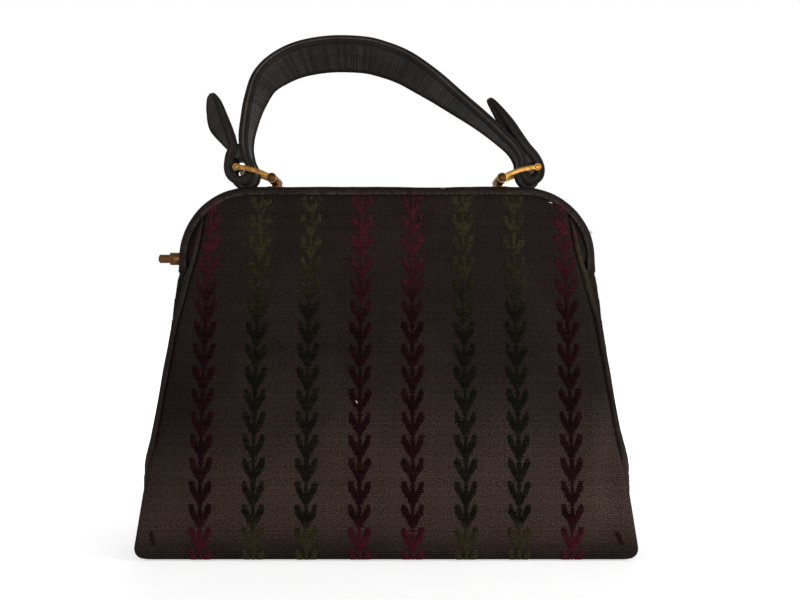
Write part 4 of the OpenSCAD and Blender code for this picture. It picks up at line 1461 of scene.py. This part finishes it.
class HANDBAG_OT_lining(bpy.types.Operator):
    """Makes the lining: front and rear walls, side walls and the floor of the pouch"""

    bl_idname = "handbag.lining"
    bl_label = "Lining"

    def execute(self, context):
        sizes = context.scene.handbag_body
        form = BodyForm(sizes)
        inset = sizes.panel_t + 0.5 * MM
        side_in = 3.4 * MM
        low = 8.5 * MM
        top = form.panel_top - 2.5 * MM

        def wall_x(z, s):
            return s * (form.panel_edge(z) - side_in - 4 * MM * smooth(0.15, 0.2, z))

        def wall(row, column):
            s = 2 * column - 1
            z = blend_value(low, min(top, form.top_edge(wall_x(top, s)) - 6 * MM), row)
            x = wall_x(z, s)
            gather = 0.25 * MM * math.sin(x * 900) * smooth(0.12, 0.2, z)
            y = -form.half_depth(z) - form.bulge(x, z) * 0.8 + inset + 0.3 * MM + gather
            return Vector((x, y, z))

        def wall_uv(row, column):
            point = wall(row, column)
            return (point.x, point.z)

        mesh = grid_mesh("lining_wall", 90, 120, wall, wall_uv)
        face_away(mesh, Vector((0, -0.3, 0.1)))

        def side(row, column):
            z = blend_value(low, HINGE_Z - 3 * MM, row)
            point = form.gusset_point(z, 0.12 + 0.88 * column, inset=sizes.gusset_t + 0.9 * MM)
            point.x = min(point.x, form.panel_edge(z) - 2 * MM)
            return point

        def side_uv(row, column):
            start, point = side(row, 0), side(row, column)
            return (math.copysign((point - start).length, point.y - start.y), point.z)

        cheek = grid_mesh("lining_side", 60, 16, side, side_uv)
        face_away(cheek, Vector((0.5, 0, 0.1)))
        for end, y in ENDS:
            obj = self.cloth(f"{end}_lining", mirrored(mesh, f"{end}_lining", 1, y), sizes)
            declare_sheet(obj, mesh, "hung", f"{end}_frame")
            follow_half(obj, y > 0)
            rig.replaces(obj, "lining", f"{end}_lining_top")
            for part, x in SIDES:
                name = f"{part}_lining_{end}"
                piece = self.cloth(name, mirrored(cheek, name, x, y), sizes)
                declare_sheet(piece, cheek, "hung", f"{end}_frame")
                follow_half(piece, y > 0)
        self.floor(form, sizes, low)
        return {"FINISHED"}

    def cloth(self, name, mesh, sizes):
        obj = new_piece(name, mesh, finish("lining_cloth"))
        thicken(obj, sizes.lining_t)
        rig.slot(obj, "lining_cloth")
        return obj

    def floor(self, form, sizes, low):
        wide = form.panel_edge(low) - 4 * MM
        deep = form.half_depth(low) - sizes.panel_t - 1 * MM

        def place(row, column):
            x = wide * (2 * column - 1)
            y = deep * (2 * row - 1)
            sag = waver(x * 30, y * 30, 0.4) * 0.25 * MM
            return Vector((x, y, low + 0.9 * MM + sag))

        def unwrap(row, column):
            return (wide * (2 * column - 1), deep * (2 * row - 1))

        mesh = grid_mesh("lining_floor", 30, 90, place, unwrap)
        face_away(mesh, Vector((0, 0, -0.1)))
        obj = self.cloth("lining_floor", mesh, sizes)
        declare_sheet(obj, mesh, "laid", "bottom_board")
        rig.ride(obj, "bag_body")


class HANDBAG_OT_frame_wraps(bpy.types.Operator):
    """Makes the cloth that is wrapped over both halves of the frame"""

    bl_idname = "handbag.frame_wraps"
    bl_label = "Frame wraps"

    cover_t = 0.65 * MM
    gap = 0.15 * MM
    round_r = 3.9 * MM
    leg_slope = 40 / 46
    leg_skin = 0.3 * MM
    tails = (1.3 * MM, 0.8 * MM)

    def section(self, sizes):
        """Closed section of the wrap as (outward, forward, share across), outside first."""
        front, back, deep = FRAME_DEEP, self.gap, sizes.rim_h
        r, t = self.round_r, self.cover_t
        outside = [(-deep, back), (-deep * 0.5, back), (-0.8 * MM, back), (-0.25 * MM, back + 0.25 * MM)]
        outside += [(0.0, back + 1.2 * MM), (0.0, (front + back) / 2)]
        for step in range(8):
            a = math.radians(90 - 90 * step / 7)
            outside.append((-r + r * math.sin(a), front - r + r * math.cos(a)))
        outside += [(-deep + 0.35 * MM, front + 0.4 * MM), (-deep - 0.25 * MM, front + 0.1 * MM)]
        inside = [(-deep, front - t)]
        for step in range(5):
            a = math.radians(22.5 * step)
            inside.append((-r + (r - t) * math.sin(a), front - r + (r - t) * math.cos(a)))
        inside += [(-t, back + t), (-deep, back + t)]
        return outside + inside

    def execute(self, context):
        sizes = context.scene.handbag_body
        section = self.section(sizes)
        stations = self.stations(sizes)
        rows, ring = len(stations) - 1, len(section)
        ends = [1.0] * (rows + 1)
        ends[0] = ends[-1] = 0.55
        ends[1] = ends[-2] = 0.86
        cuts = [0.0]
        for a, b in zip(section, section[1:] + section[:1]):
            cuts.append(cuts[-1] + math.hypot(b[0] - a[0], b[1] - a[1]))

        def place(row, column):
            (x, z), (ox, oz), run = stations[round(row * rows)]
            index = round(column * ring) % ring
            out, forward = section[index]
            if index < 16 and out > -0.9 * sizes.rim_h:
                out += waver(run * 38, forward * 60, 2.2) * 0.45 * MM
                out += waver(run * 170, forward * 90, 5.2) * 0.12 * MM
            close = ends[round(row * rows)]
            out = blend_value(-0.5 * sizes.rim_h, out, close)
            forward = blend_value((FRAME_DEEP + self.gap) / 2, forward, close)
            free = self.gap + self.leg_slope * max(0.0, HINGE_Z - self.leg_skin - z)
            free = min(0.9 * FRAME_DEEP, free)
            forward = free + (forward - self.gap) * (FRAME_DEEP - free) / (FRAME_DEEP - self.gap)
            return Vector((x + ox * out, -forward, z + oz * out))

        def unwrap(row, column):
            return (cuts[round(column * ring)], stations[round(row * rows)][2])

        mesh = grid_mesh("frame_wrap", rows, ring, place, unwrap, closed=True)
        self.mark(mesh, ring, context.scene.handbag_leaf)
        cap_ends(mesh, rows, ring)
        close_outward(mesh)
        for end, y in ENDS:
            name = f"{end}_frame_wrap"
            obj = new_piece(name, mirrored(mesh, name, 1, y), finish("cover_cloth"))
            obj.data.set_sharp_from_angle(angle=math.radians(50))
            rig.ride(obj, f"{end}_half")
            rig.replaces(obj, f"{end}_frame_cover")
            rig.slot(obj, "cover_cloth")
            dress_node(f"{end}_frame", "steel")
        return {"FINISHED"}

    def mark(self, mesh, ring, leaf):
        """Notes the paler fold along the lower edge and the leaf ends that the wrap has caught there."""
        rim = {12: 0.2, 13: 0.6, 14: 1.0, 15: 0.5}
        shades = {"edge": [], "red_bit": [], "green_bit": []}
        for index, vertex in enumerate(mesh.vertices):
            low = rim.get(index % ring, 0.0)
            step = abs(vertex.co.x) / leaf.column_gap
            near = {
                tone: max(0.0, 1 - min(abs(step - c) for c in steps) * leaf.column_gap / leaf.half)
                for tone, steps in (("red_bit", (0.5, 3.5)), ("green_bit", (1.5, 2.5)))
            }
            shades["edge"].append(low)
            for tone, share in near.items():
                shades[tone].append(share * low)
        note_values(mesh, shades)

    def corner(self, x, z, r, start):
        """A quarter turn round the frame's corner, from an angle in degrees, with its directions."""
        spots = []
        for step in range(25):
            a = math.radians(start - 90 * step / 24)
            away = (math.cos(a), math.sin(a))
            spots.append(((x + r * away[0], z + r * away[1]), away))
        return spots

    def stations(self, sizes):
        """Points round the frame's outside with their outward direction and the length so far."""
        leg_x = FRAME_HALF - sizes.corner_r
        leg_z = FRAME_TOP - sizes.corner_r
        low = COVER_LOW[2]
        spots = [((-FRAME_HALF, low - tail), (-1.0, 0.0)) for tail in self.tails]
        for step in range(9):
            spots.append(((-FRAME_HALF, blend_value(low, leg_z, step / 9)), (-1.0, 0.0)))
        spots += self.corner(-leg_x, leg_z, sizes.corner_r, 180)
        for step in range(1, 70):
            spots.append(((blend_value(-leg_x, leg_x, step / 70), FRAME_TOP), (0.0, 1.0)))
        spots += self.corner(leg_x, leg_z, sizes.corner_r, 90)
        for step in range(1, 10):
            spots.append(((FRAME_HALF, blend_value(leg_z, low, step / 9)), (1.0, 0.0)))
        spots += [((FRAME_HALF, low - tail), (1.0, 0.0)) for tail in reversed(self.tails)]
        out = []
        run = 0.0
        last = spots[0][0]
        for point, away in spots:
            run += math.hypot(point[0] - last[0], point[1] - last[1])
            out.append((point, away, run))
            last = point
        return out


# Near edge of the strap from tab tip to tab tip, as in the solids:
# x, and height over the frame for a rise of PATH_RISE, in millimetres, width factor, roll in degrees.
PATH_RISE = 92
LOOP_TOP = 18
STRAP_PATH = (
    (-109.2, 57.2, 0.20, 28), (-106.9, 55.8, 0.50, 28), (-103.4, 50.8, 0.82, 28), (-99.2, 41.0, 1.0, 26),
    (-95.2, 29.8, 1, 14), (-94, 23.5, 1, 5), (-96.6, 17.5, 1, 0), (-97.6, 11, 1, 0),
    (-96.4, 5.8, 1, 0), (-92.4, 2.4, 1, 0), (-86.8, 2.2, 1, 0), (-82.9, 5.2, 1, 0),
    (-82.6, 11, 1, 0), (-85.6, 17.5, 1, 0), (-87.4, 24, 1, 0), (-87.6, 31, 1.02, 1),
    (-86.6, 41, 1.04, 4), (-84.6, 54, 1.08, 10), (-80.6, 68.4, 1.12, 18), (-71.8, 79, 1.12, 24),
    (-57, 87.6, 1.12, 28), (-36, 92, 1.12, 30), (-14.6, 91.3, 1.12, 30), (0, 87.6, 1.12, 29),
    (14, 80.8, 1.12, 27), (29, 69.4, 1.11, 22), (44, 55.4, 1.09, 12.5), (59, 42, 1.06, 5),
    (71, 31, 1.04, 1), (78.4, 23.8, 1.01, 0), (81.7, 17.3, 1, 0), (82.2, 11, 1, 0),
    (83.2, 5.8, 1, 0), (86.6, 2.4, 1, 0), (90.6, 2.2, 1, 0), (93.8, 5.2, 1, 0),
    (94.2, 11, 1, 0), (90.9, 17.6, 1, 0), (84.6, 24.6, 1, 0), (80, 31, 0.96, 0),
    (74.8, 38.8, 0.88, 0), (69, 46.4, 0.72, 0), (64.4, 52.4, 0.45, 0), (63, 54.2, 0.12, 0),
)
SPANS = len(STRAP_PATH) - 1


def spline(a, b, c, d, t):
    """Smooth value between b and c."""
    return 0.5 * (
        2 * b + (c - a) * t + (2 * a - 5 * b + 4 * c - d) * t * t + (3 * b - 3 * c + d - a) * t * t * t
    )


class HANDBAG_OT_strap(bpy.types.Operator):
    """Makes the strap handle: grosgrain over a welted edge, folded back through both shackles"""

    bl_idname = "handbag.strap"
    bl_label = "Strap"

    steps = 6
    inward = 0.7 * MM
    tilt = 1.0 * MM

    def execute(self, context):
        self.sizes = context.scene.handbag_strap
        line = self.line()
        rows = len(line) - 1
        runs = [0.0]
        for a, b in zip(line, line[1:]):
            runs.append(runs[-1] + math.hypot(b[0] - a[0], b[1] - a[1]) * MM)
        rings = [self.ring(line, i) for i in range(rows + 1)]
        ring = len(rings[0])
        cuts = self.section(self.sizes.loop / 2, 1.0, 1.0)

        def place(row, column):
            return rings[round(row * rows)][round(column * ring) % ring]

        def unwrap(row, column):
            return (cuts[round(column * ring) % ring][0], runs[round(row * rows)])

        mesh = grid_mesh("strap", rows, ring, place, unwrap, closed=True)
        cap_ends(mesh, rows, ring)
        shades = {"seam": [], "welt": [], "inner": []}
        for i in range(rows + 1):
            clear = self.seam_clear(line, i)
            folded = abs(i / rows - 0.5) > 0.5 - 14 / SPANS
            tab = i / rows < 6 / SPANS
            for cut in cuts:
                shades["seam"].append(cut[2] * clear)
                shades["welt"].append(cut[4])
                # On the left tab the outer face is mixed part way to the inner colour: painted shade, as that face
                # looks away from the light.
                shades["inner"].append(max(cut[3] * folded, 0.5 * (1 - cut[4]) * tab))
        note_values(mesh, shades)
        close_outward(mesh)
        obj = new_piece("strap", mesh, finish("strap_cloth"))
        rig.ride(obj, "handle")
        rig.replaces(obj, "handle_strap")
        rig.slot(obj, "strap_cloth")
        path = self.line()[:: self.steps]
        self.bridge("left_sewn_joint", (path[5], path[14], path[13], path[6]), (2.2, 2.2, -0.4, -0.4))
        self.bridge("right_sewn_joint", (path[29], path[38], path[37], path[30]), (2.2, 2.2, -3.4, -3.4))
        return {"FINISHED"}

    def seam_clear(self, line, i):
        """How clearly the seam shows: it is lost in the folded ends and softer towards the right."""
        share = i / (len(line) - 1)
        folded = smooth(12.5 / SPANS, 15.5 / SPANS, share) * (1 - smooth(28 / SPANS, 31 / SPANS, share))
        return 0.16 + 0.84 * folded * (1 - 0.45 * smooth(18 / SPANS, 22 / SPANS, share))

    def line(self):
        """The near edge as a fine run of points."""
        path = STRAP_PATH
        n = len(path)
        out = []
        for i in range(n - 1):
            four = [path[min(max(k, 0), n - 1)] for k in (i - 1, i, i + 1, i + 2)]
            for step in range(self.steps):
                t = step / self.steps
                out.append([spline(*(point[axis] for point in four), t) for axis in range(4)])
        out.append(list(path[-1]))
        for point in out:
            past = max(0.0, point[1] - LOOP_TOP)
            point[1] += (self.sizes.rise / MM - PATH_RISE) * past / (PATH_RISE - LOOP_TOP)
        return out

    def section(self, half, share, core):
        """Section as (across, through, seam, inner, welt): two welts on each edge, a seam between."""
        r = min(self.sizes.welt * share, 0.42 * half)
        t = min(self.sizes.thick / 2 * core, 1.9 * r)
        quarter = [(0.0, t + 0.20 * MM * core, 0.0, 1.0, 0.0)]
        quarter.append((0.5 * half, t + 0.12 * MM * core, 0.0, 1.0, 0.0))
        quarter.append((half - 2.25 * r, t - 0.05 * MM, 0.15, 0.6, 0.3))
        for degrees in (140, 105, 70, 35, 0, -32):
            a = math.radians(degrees)
            quarter.append((half - r + r * math.cos(a), r + r * math.sin(a), 0.0, 0.0, 1.0))
        seam = [(half - 0.40 * r, 0.20 * r, 1.0, 0.0, 1.0), (half - 0.40 * r, -0.20 * r, 1.0, 0.0, 1.0)]
        right = quarter + seam + [(a, -b, c, 0.0, e) for a, b, c, _, e in reversed(quarter)]
        left = [(-a, b, c, d, e) for a, b, c, d, e in reversed(right)][1:-1]
        return right + left

    def ring(self, line, i):
        """The strap's section at one point of its run."""
        sizes = self.sizes
        x, height, factor, roll = line[i]
        inner = min(max(i, 2 * self.steps), len(line) - 1 - self.steps)
        ahead = line[inner + 1]
        behind = line[inner - 1]
        dx, dz = ahead[0] - behind[0], ahead[1] - behind[1]
        size = math.hypot(dx, dz)
        across = Vector((-dz / size, 0, dx / size))
        roll = math.radians(roll)
        wide = Vector((0, math.cos(roll), 0)) - math.sin(roll) * across
        thick = math.cos(roll) * across + Vector((0, math.sin(roll), 0))
        half = factor * sizes.loop / 2
        if factor > 1:
            half *= 1 + (sizes.width / sizes.loop / 1.12 - 1) * (factor - 1) / 0.12
        share = i / (len(line) - 1)
        lean = 0.0
        if 15.2 / SPANS < share < 28.8 / SPANS:
            lean = sizes.lean * (max(0.0, height - 0.29 * sizes.rise / MM) / (0.71 * sizes.rise / MM)) ** 2
        middle = Vector((x * MM, lean, FRAME_TOP + height * MM)) - half * math.sin(roll) * across
        wave = waver(share * 40, 0.3, 0.9) * 0.25 * MM * smooth(20, 34, height)
        from_tip = min(i, len(line) - 1 - i) / self.steps
        full = blend_value(0.9, 1.0, smooth(17, 32, height)) * blend_value(0.4, 1.0, smooth(0, 3.4, from_tip))
        core = min(full, blend_value(sizes.snug, 1.0, smooth(17, 32, height)))
        low = 1 - smooth(13, 23, height)
        middle += self.inward * low * thick
        section = self.section(half, full, core)
        tilts = [self.tilt * low * (half - point[0]) / (2 * half) for point in section]
        return [
            middle + point[0] * wide + (point[1] + wave) * thick + Vector((0, 0, lift))
            for point, lift in zip(section, tilts)
        ]

    def bridge(self, name, corners, lifts):
        """The sewn joint between the strap and its folded end."""
        half = self.sizes.loop / 2 - 2.2 * MM
        build = bmesh.new()
        sides = []
        for y in (-half, half):
            ring = [
                build.verts.new((point[0] * MM, y, FRAME_TOP + (point[1] + lift) * MM))
                for point, lift in zip(corners, lifts)
            ]
            sides.append(build.faces.new(ring))
        front, rear = (list(face.verts) for face in sides)
        for i in range(4):
            k = (i + 1) % 4
            build.faces.new((front[i], front[k], rear[k], rear[i]))
        bmesh.ops.recalc_face_normals(build, faces=build.faces)
        round_edges(build, build.edges[:], 0.7 * MM, 3)
        bmesh.ops.subdivide_edges(build, edges=build.edges[:], cuts=2, use_grid_fill=True)
        for vert in build.verts:
            vert.co.y += noise.noise(vert.co * 300) * 0.5 * MM
        mesh = bpy.data.meshes.new(name)
        build.to_mesh(mesh)
        build.free()
        obj = new_piece(name, mesh, finish("strap_cloth"))
        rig.ride(obj, "handle")
        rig.slot(obj, "strap_cloth")


class HANDBAG_OT_hardware(bpy.types.Operator):
    """Softens the edges of the brass and gives the metal pieces their finish"""

    bl_idname = "handbag.hardware"
    bl_label = "Hardware"

    softened = {
        "left_lug": ("rear_half", "brass"), "right_lug": ("rear_half", "brass"),
        "left_lug_pin": ("rear_half", "dark_bronze"), "right_lug_pin": ("rear_half", "dark_bronze"),
        "left_front_link": ("left_shackle", "brass"), "left_rear_link": ("left_shackle", "brass"),
        "right_front_link": ("right_shackle", "brass"), "right_rear_link": ("right_shackle", "brass"),
        "left_strap_bar": ("left_shackle", "brass"), "right_strap_bar": ("right_shackle", "brass"),
        "lock_bush": ("rear_half", "bronzed_brass"), "lock_button": ("button", "bronzed_brass"),
    }
    plain = {"lock_clip": "steel", "lock_spring": "steel", "hinge_rivet": "steel"}

    def execute(self, context):
        for node, (body, metal) in self.softened.items():
            obj = new_piece(f"{node}_metal", self.softer(node), finish(metal))
            obj.data.set_sharp_from_angle(angle=math.radians(40))
            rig.ride(obj, body)
            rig.replaces(obj, node)
            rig.slot(obj, "bronzed_brass" if metal == "dark_bronze" else metal)
        for node, metal in self.plain.items():
            dress_node(node, metal)
        return {"FINISHED"}

    def softer(self, node):
        """A copy of a node's mesh with its sharp edges rounded."""
        build = bmesh.new()
        build.from_mesh(frame["nodes"][node].data)
        bmesh.ops.remove_doubles(build, verts=build.verts, dist=0.002 * MM)
        if node.endswith("lug_pin"):
            self.rivet_ends(build)
        sharp = [e for e in build.edges if len(e.link_faces) == 2 and e.calc_face_angle() > math.radians(40)]
        round_edges(build, sharp, 0.18 * MM, 2)
        mesh = bpy.data.meshes.new(f"{node}_metal")
        build.to_mesh(mesh)
        build.free()
        return mesh

    def rivet_ends(self, build):
        """Sinks a ring into both ends of a pin, so that a stud is left in the middle."""
        flat = math.radians(1)
        bmesh.ops.dissolve_limit(build, angle_limit=flat, verts=build.verts, edges=build.edges)
        ends = [face for face in build.faces if abs(face.normal.y) > 0.95 and len(face.verts) > 8]
        for thickness, depth in ((0.25 * MM, -0.45 * MM), (0.75 * MM, 0.55 * MM)):
            bmesh.ops.inset_individual(build, faces=ends, thickness=thickness, depth=depth)


class HANDBAG_OT_wear(bpy.types.Operator):
    """Adds the lint, the loose thread and the frayed bit that show on the cloth"""

    bl_idname = "handbag.wear"
    bl_label = "Wear"

    def execute(self, context):
        form = BodyForm(context.scene.handbag_body)
        for name, x, z, size, angle in (
            ("corner_lint", 100 * MM, 209.5 * MM, 2.6 * MM, -12),
            ("middle_lint", -17.3 * MM, 91 * MM, 2.2 * MM, -62),
        ):
            along = form.along_at(z)
            middle = form.panel_point(x, along)
            path = []
            for step in range(9):
                t = step / 8 - 0.5
                a = math.radians(angle)
                lift = 0.25 * MM + 0.5 * MM * (1 - 4 * t * t)
                offset = Vector((math.cos(a) * t * size, -lift, math.sin(a) * t * size + 0.4 * MM * t * t))
                path.append(middle + offset)
            mesh = tube_mesh(name, path, 0.28 * MM, 6, lambda t: 0.3 + 0.7 * math.sin(math.pi * t))
            obj = new_piece(name, mesh, finish("lint"))
            follow_half(obj, True)
        edge_x = form.leg_x + math.sqrt(form.sizes.corner_r**2 - (193 * MM - form.leg_z) ** 2)
        root = Vector((edge_x - 0.4 * MM, -6 * MM, 193 * MM))
        self.strands("loose_thread", root, ((2.6, 0.3), (1.6, 1.5), (1.9, -1.4)), "cover_cloth", "front_half")
        root = Vector((-92.0 * MM, -12.4 * MM, FRAME_TOP + 30.5 * MM))
        self.strands("frayed_bit", root, ((-2.2, -0.9), (-1.8, 1.0), (-2.4, 0.2)), "strap_cloth", "handle")
        return {"FINISHED"}

    def strands(self, name, root, ends, cloth, body):
        """A few short fibres that stand out from one place, given by the ends' x and z in millimetres."""
        fibres = []
        for index, (x, z) in enumerate(ends):
            end = Vector((x, 0.5 * index - 0.5, z)) * MM
            path = [root + end * t + Vector((0, 0, -0.5 * MM * t * (1 - t))) for t in (0, 0.25, 0.5, 0.75, 1)]
            fibres.append(tube_mesh(f"{name}_{index}", path, 0.22 * MM, 6, lambda t: 1 - 0.6 * t))
        obj = new_piece(name, joined(name, fibres), finish(cloth))
        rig.ride(obj, body)
        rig.slot(obj, cloth)


class HANDBAG_PT_panel(bpy.types.Panel):
    """Lists the handbag's sizes and its makers"""

    bl_idname = "HANDBAG_PT_panel"
    bl_label = "Handbag"
    bl_space_type = "VIEW_3D"
    bl_region_type = "UI"
    bl_category = "Handbag"

    def draw(self, context):
        scene = context.scene
        for group in (scene.handbag_body, scene.handbag_leaf, scene.handbag_strap, scene.handbag_finishes):
            box = self.layout.box()
            for key in group.__annotations__:
                box.prop(group, key)
        for operator in OPERATORS:
            self.layout.operator(operator.bl_idname)


GROUPS = {
    "handbag_body": BodySizes,
    "handbag_leaf": LeafSizes,
    "handbag_strap": StrapSizes,
    "handbag_finishes": Finishes,
}
OPERATORS = (
    HANDBAG_OT_stage,
    HANDBAG_OT_panels,
    HANDBAG_OT_pile,
    HANDBAG_OT_gussets,
    HANDBAG_OT_piping,
    HANDBAG_OT_base,
    HANDBAG_OT_lining,
    HANDBAG_OT_frame_wraps,
    HANDBAG_OT_strap,
    HANDBAG_OT_hardware,
    HANDBAG_OT_wear,
)


def register():
    for name, group in GROUPS.items():
        bpy.utils.register_class(group)
        setattr(bpy.types.Scene, name, PointerProperty(type=group))
    for operator in OPERATORS:
        bpy.utils.register_class(operator)
    bpy.utils.register_class(HANDBAG_PT_panel)


def unregister():
    bpy.utils.unregister_class(HANDBAG_PT_panel)
    for operator in reversed(OPERATORS):
        bpy.utils.unregister_class(operator)
    for name, group in reversed(list(GROUPS.items())):
        delattr(bpy.types.Scene, name)
        bpy.utils.unregister_class(group)


def main():
    register()
    bpy.ops.handbag.stage()
    bpy.ops.handbag.panels()
    bpy.ops.handbag.pile()
    bpy.ops.handbag.gussets()
    bpy.ops.handbag.piping()
    bpy.ops.handbag.base()
    bpy.ops.handbag.lining()
    bpy.ops.handbag.frame_wraps()
    bpy.ops.handbag.strap()
    bpy.ops.handbag.hardware()
    bpy.ops.handbag.wear()
    visual_box = [list(corner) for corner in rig.bounds()]
    with open(SIZE_FILE, "w") as file:
        json.dump({"cad": CAD_BOX, "visual": visual_box}, file)


if __name__ == "__main__":
    main()
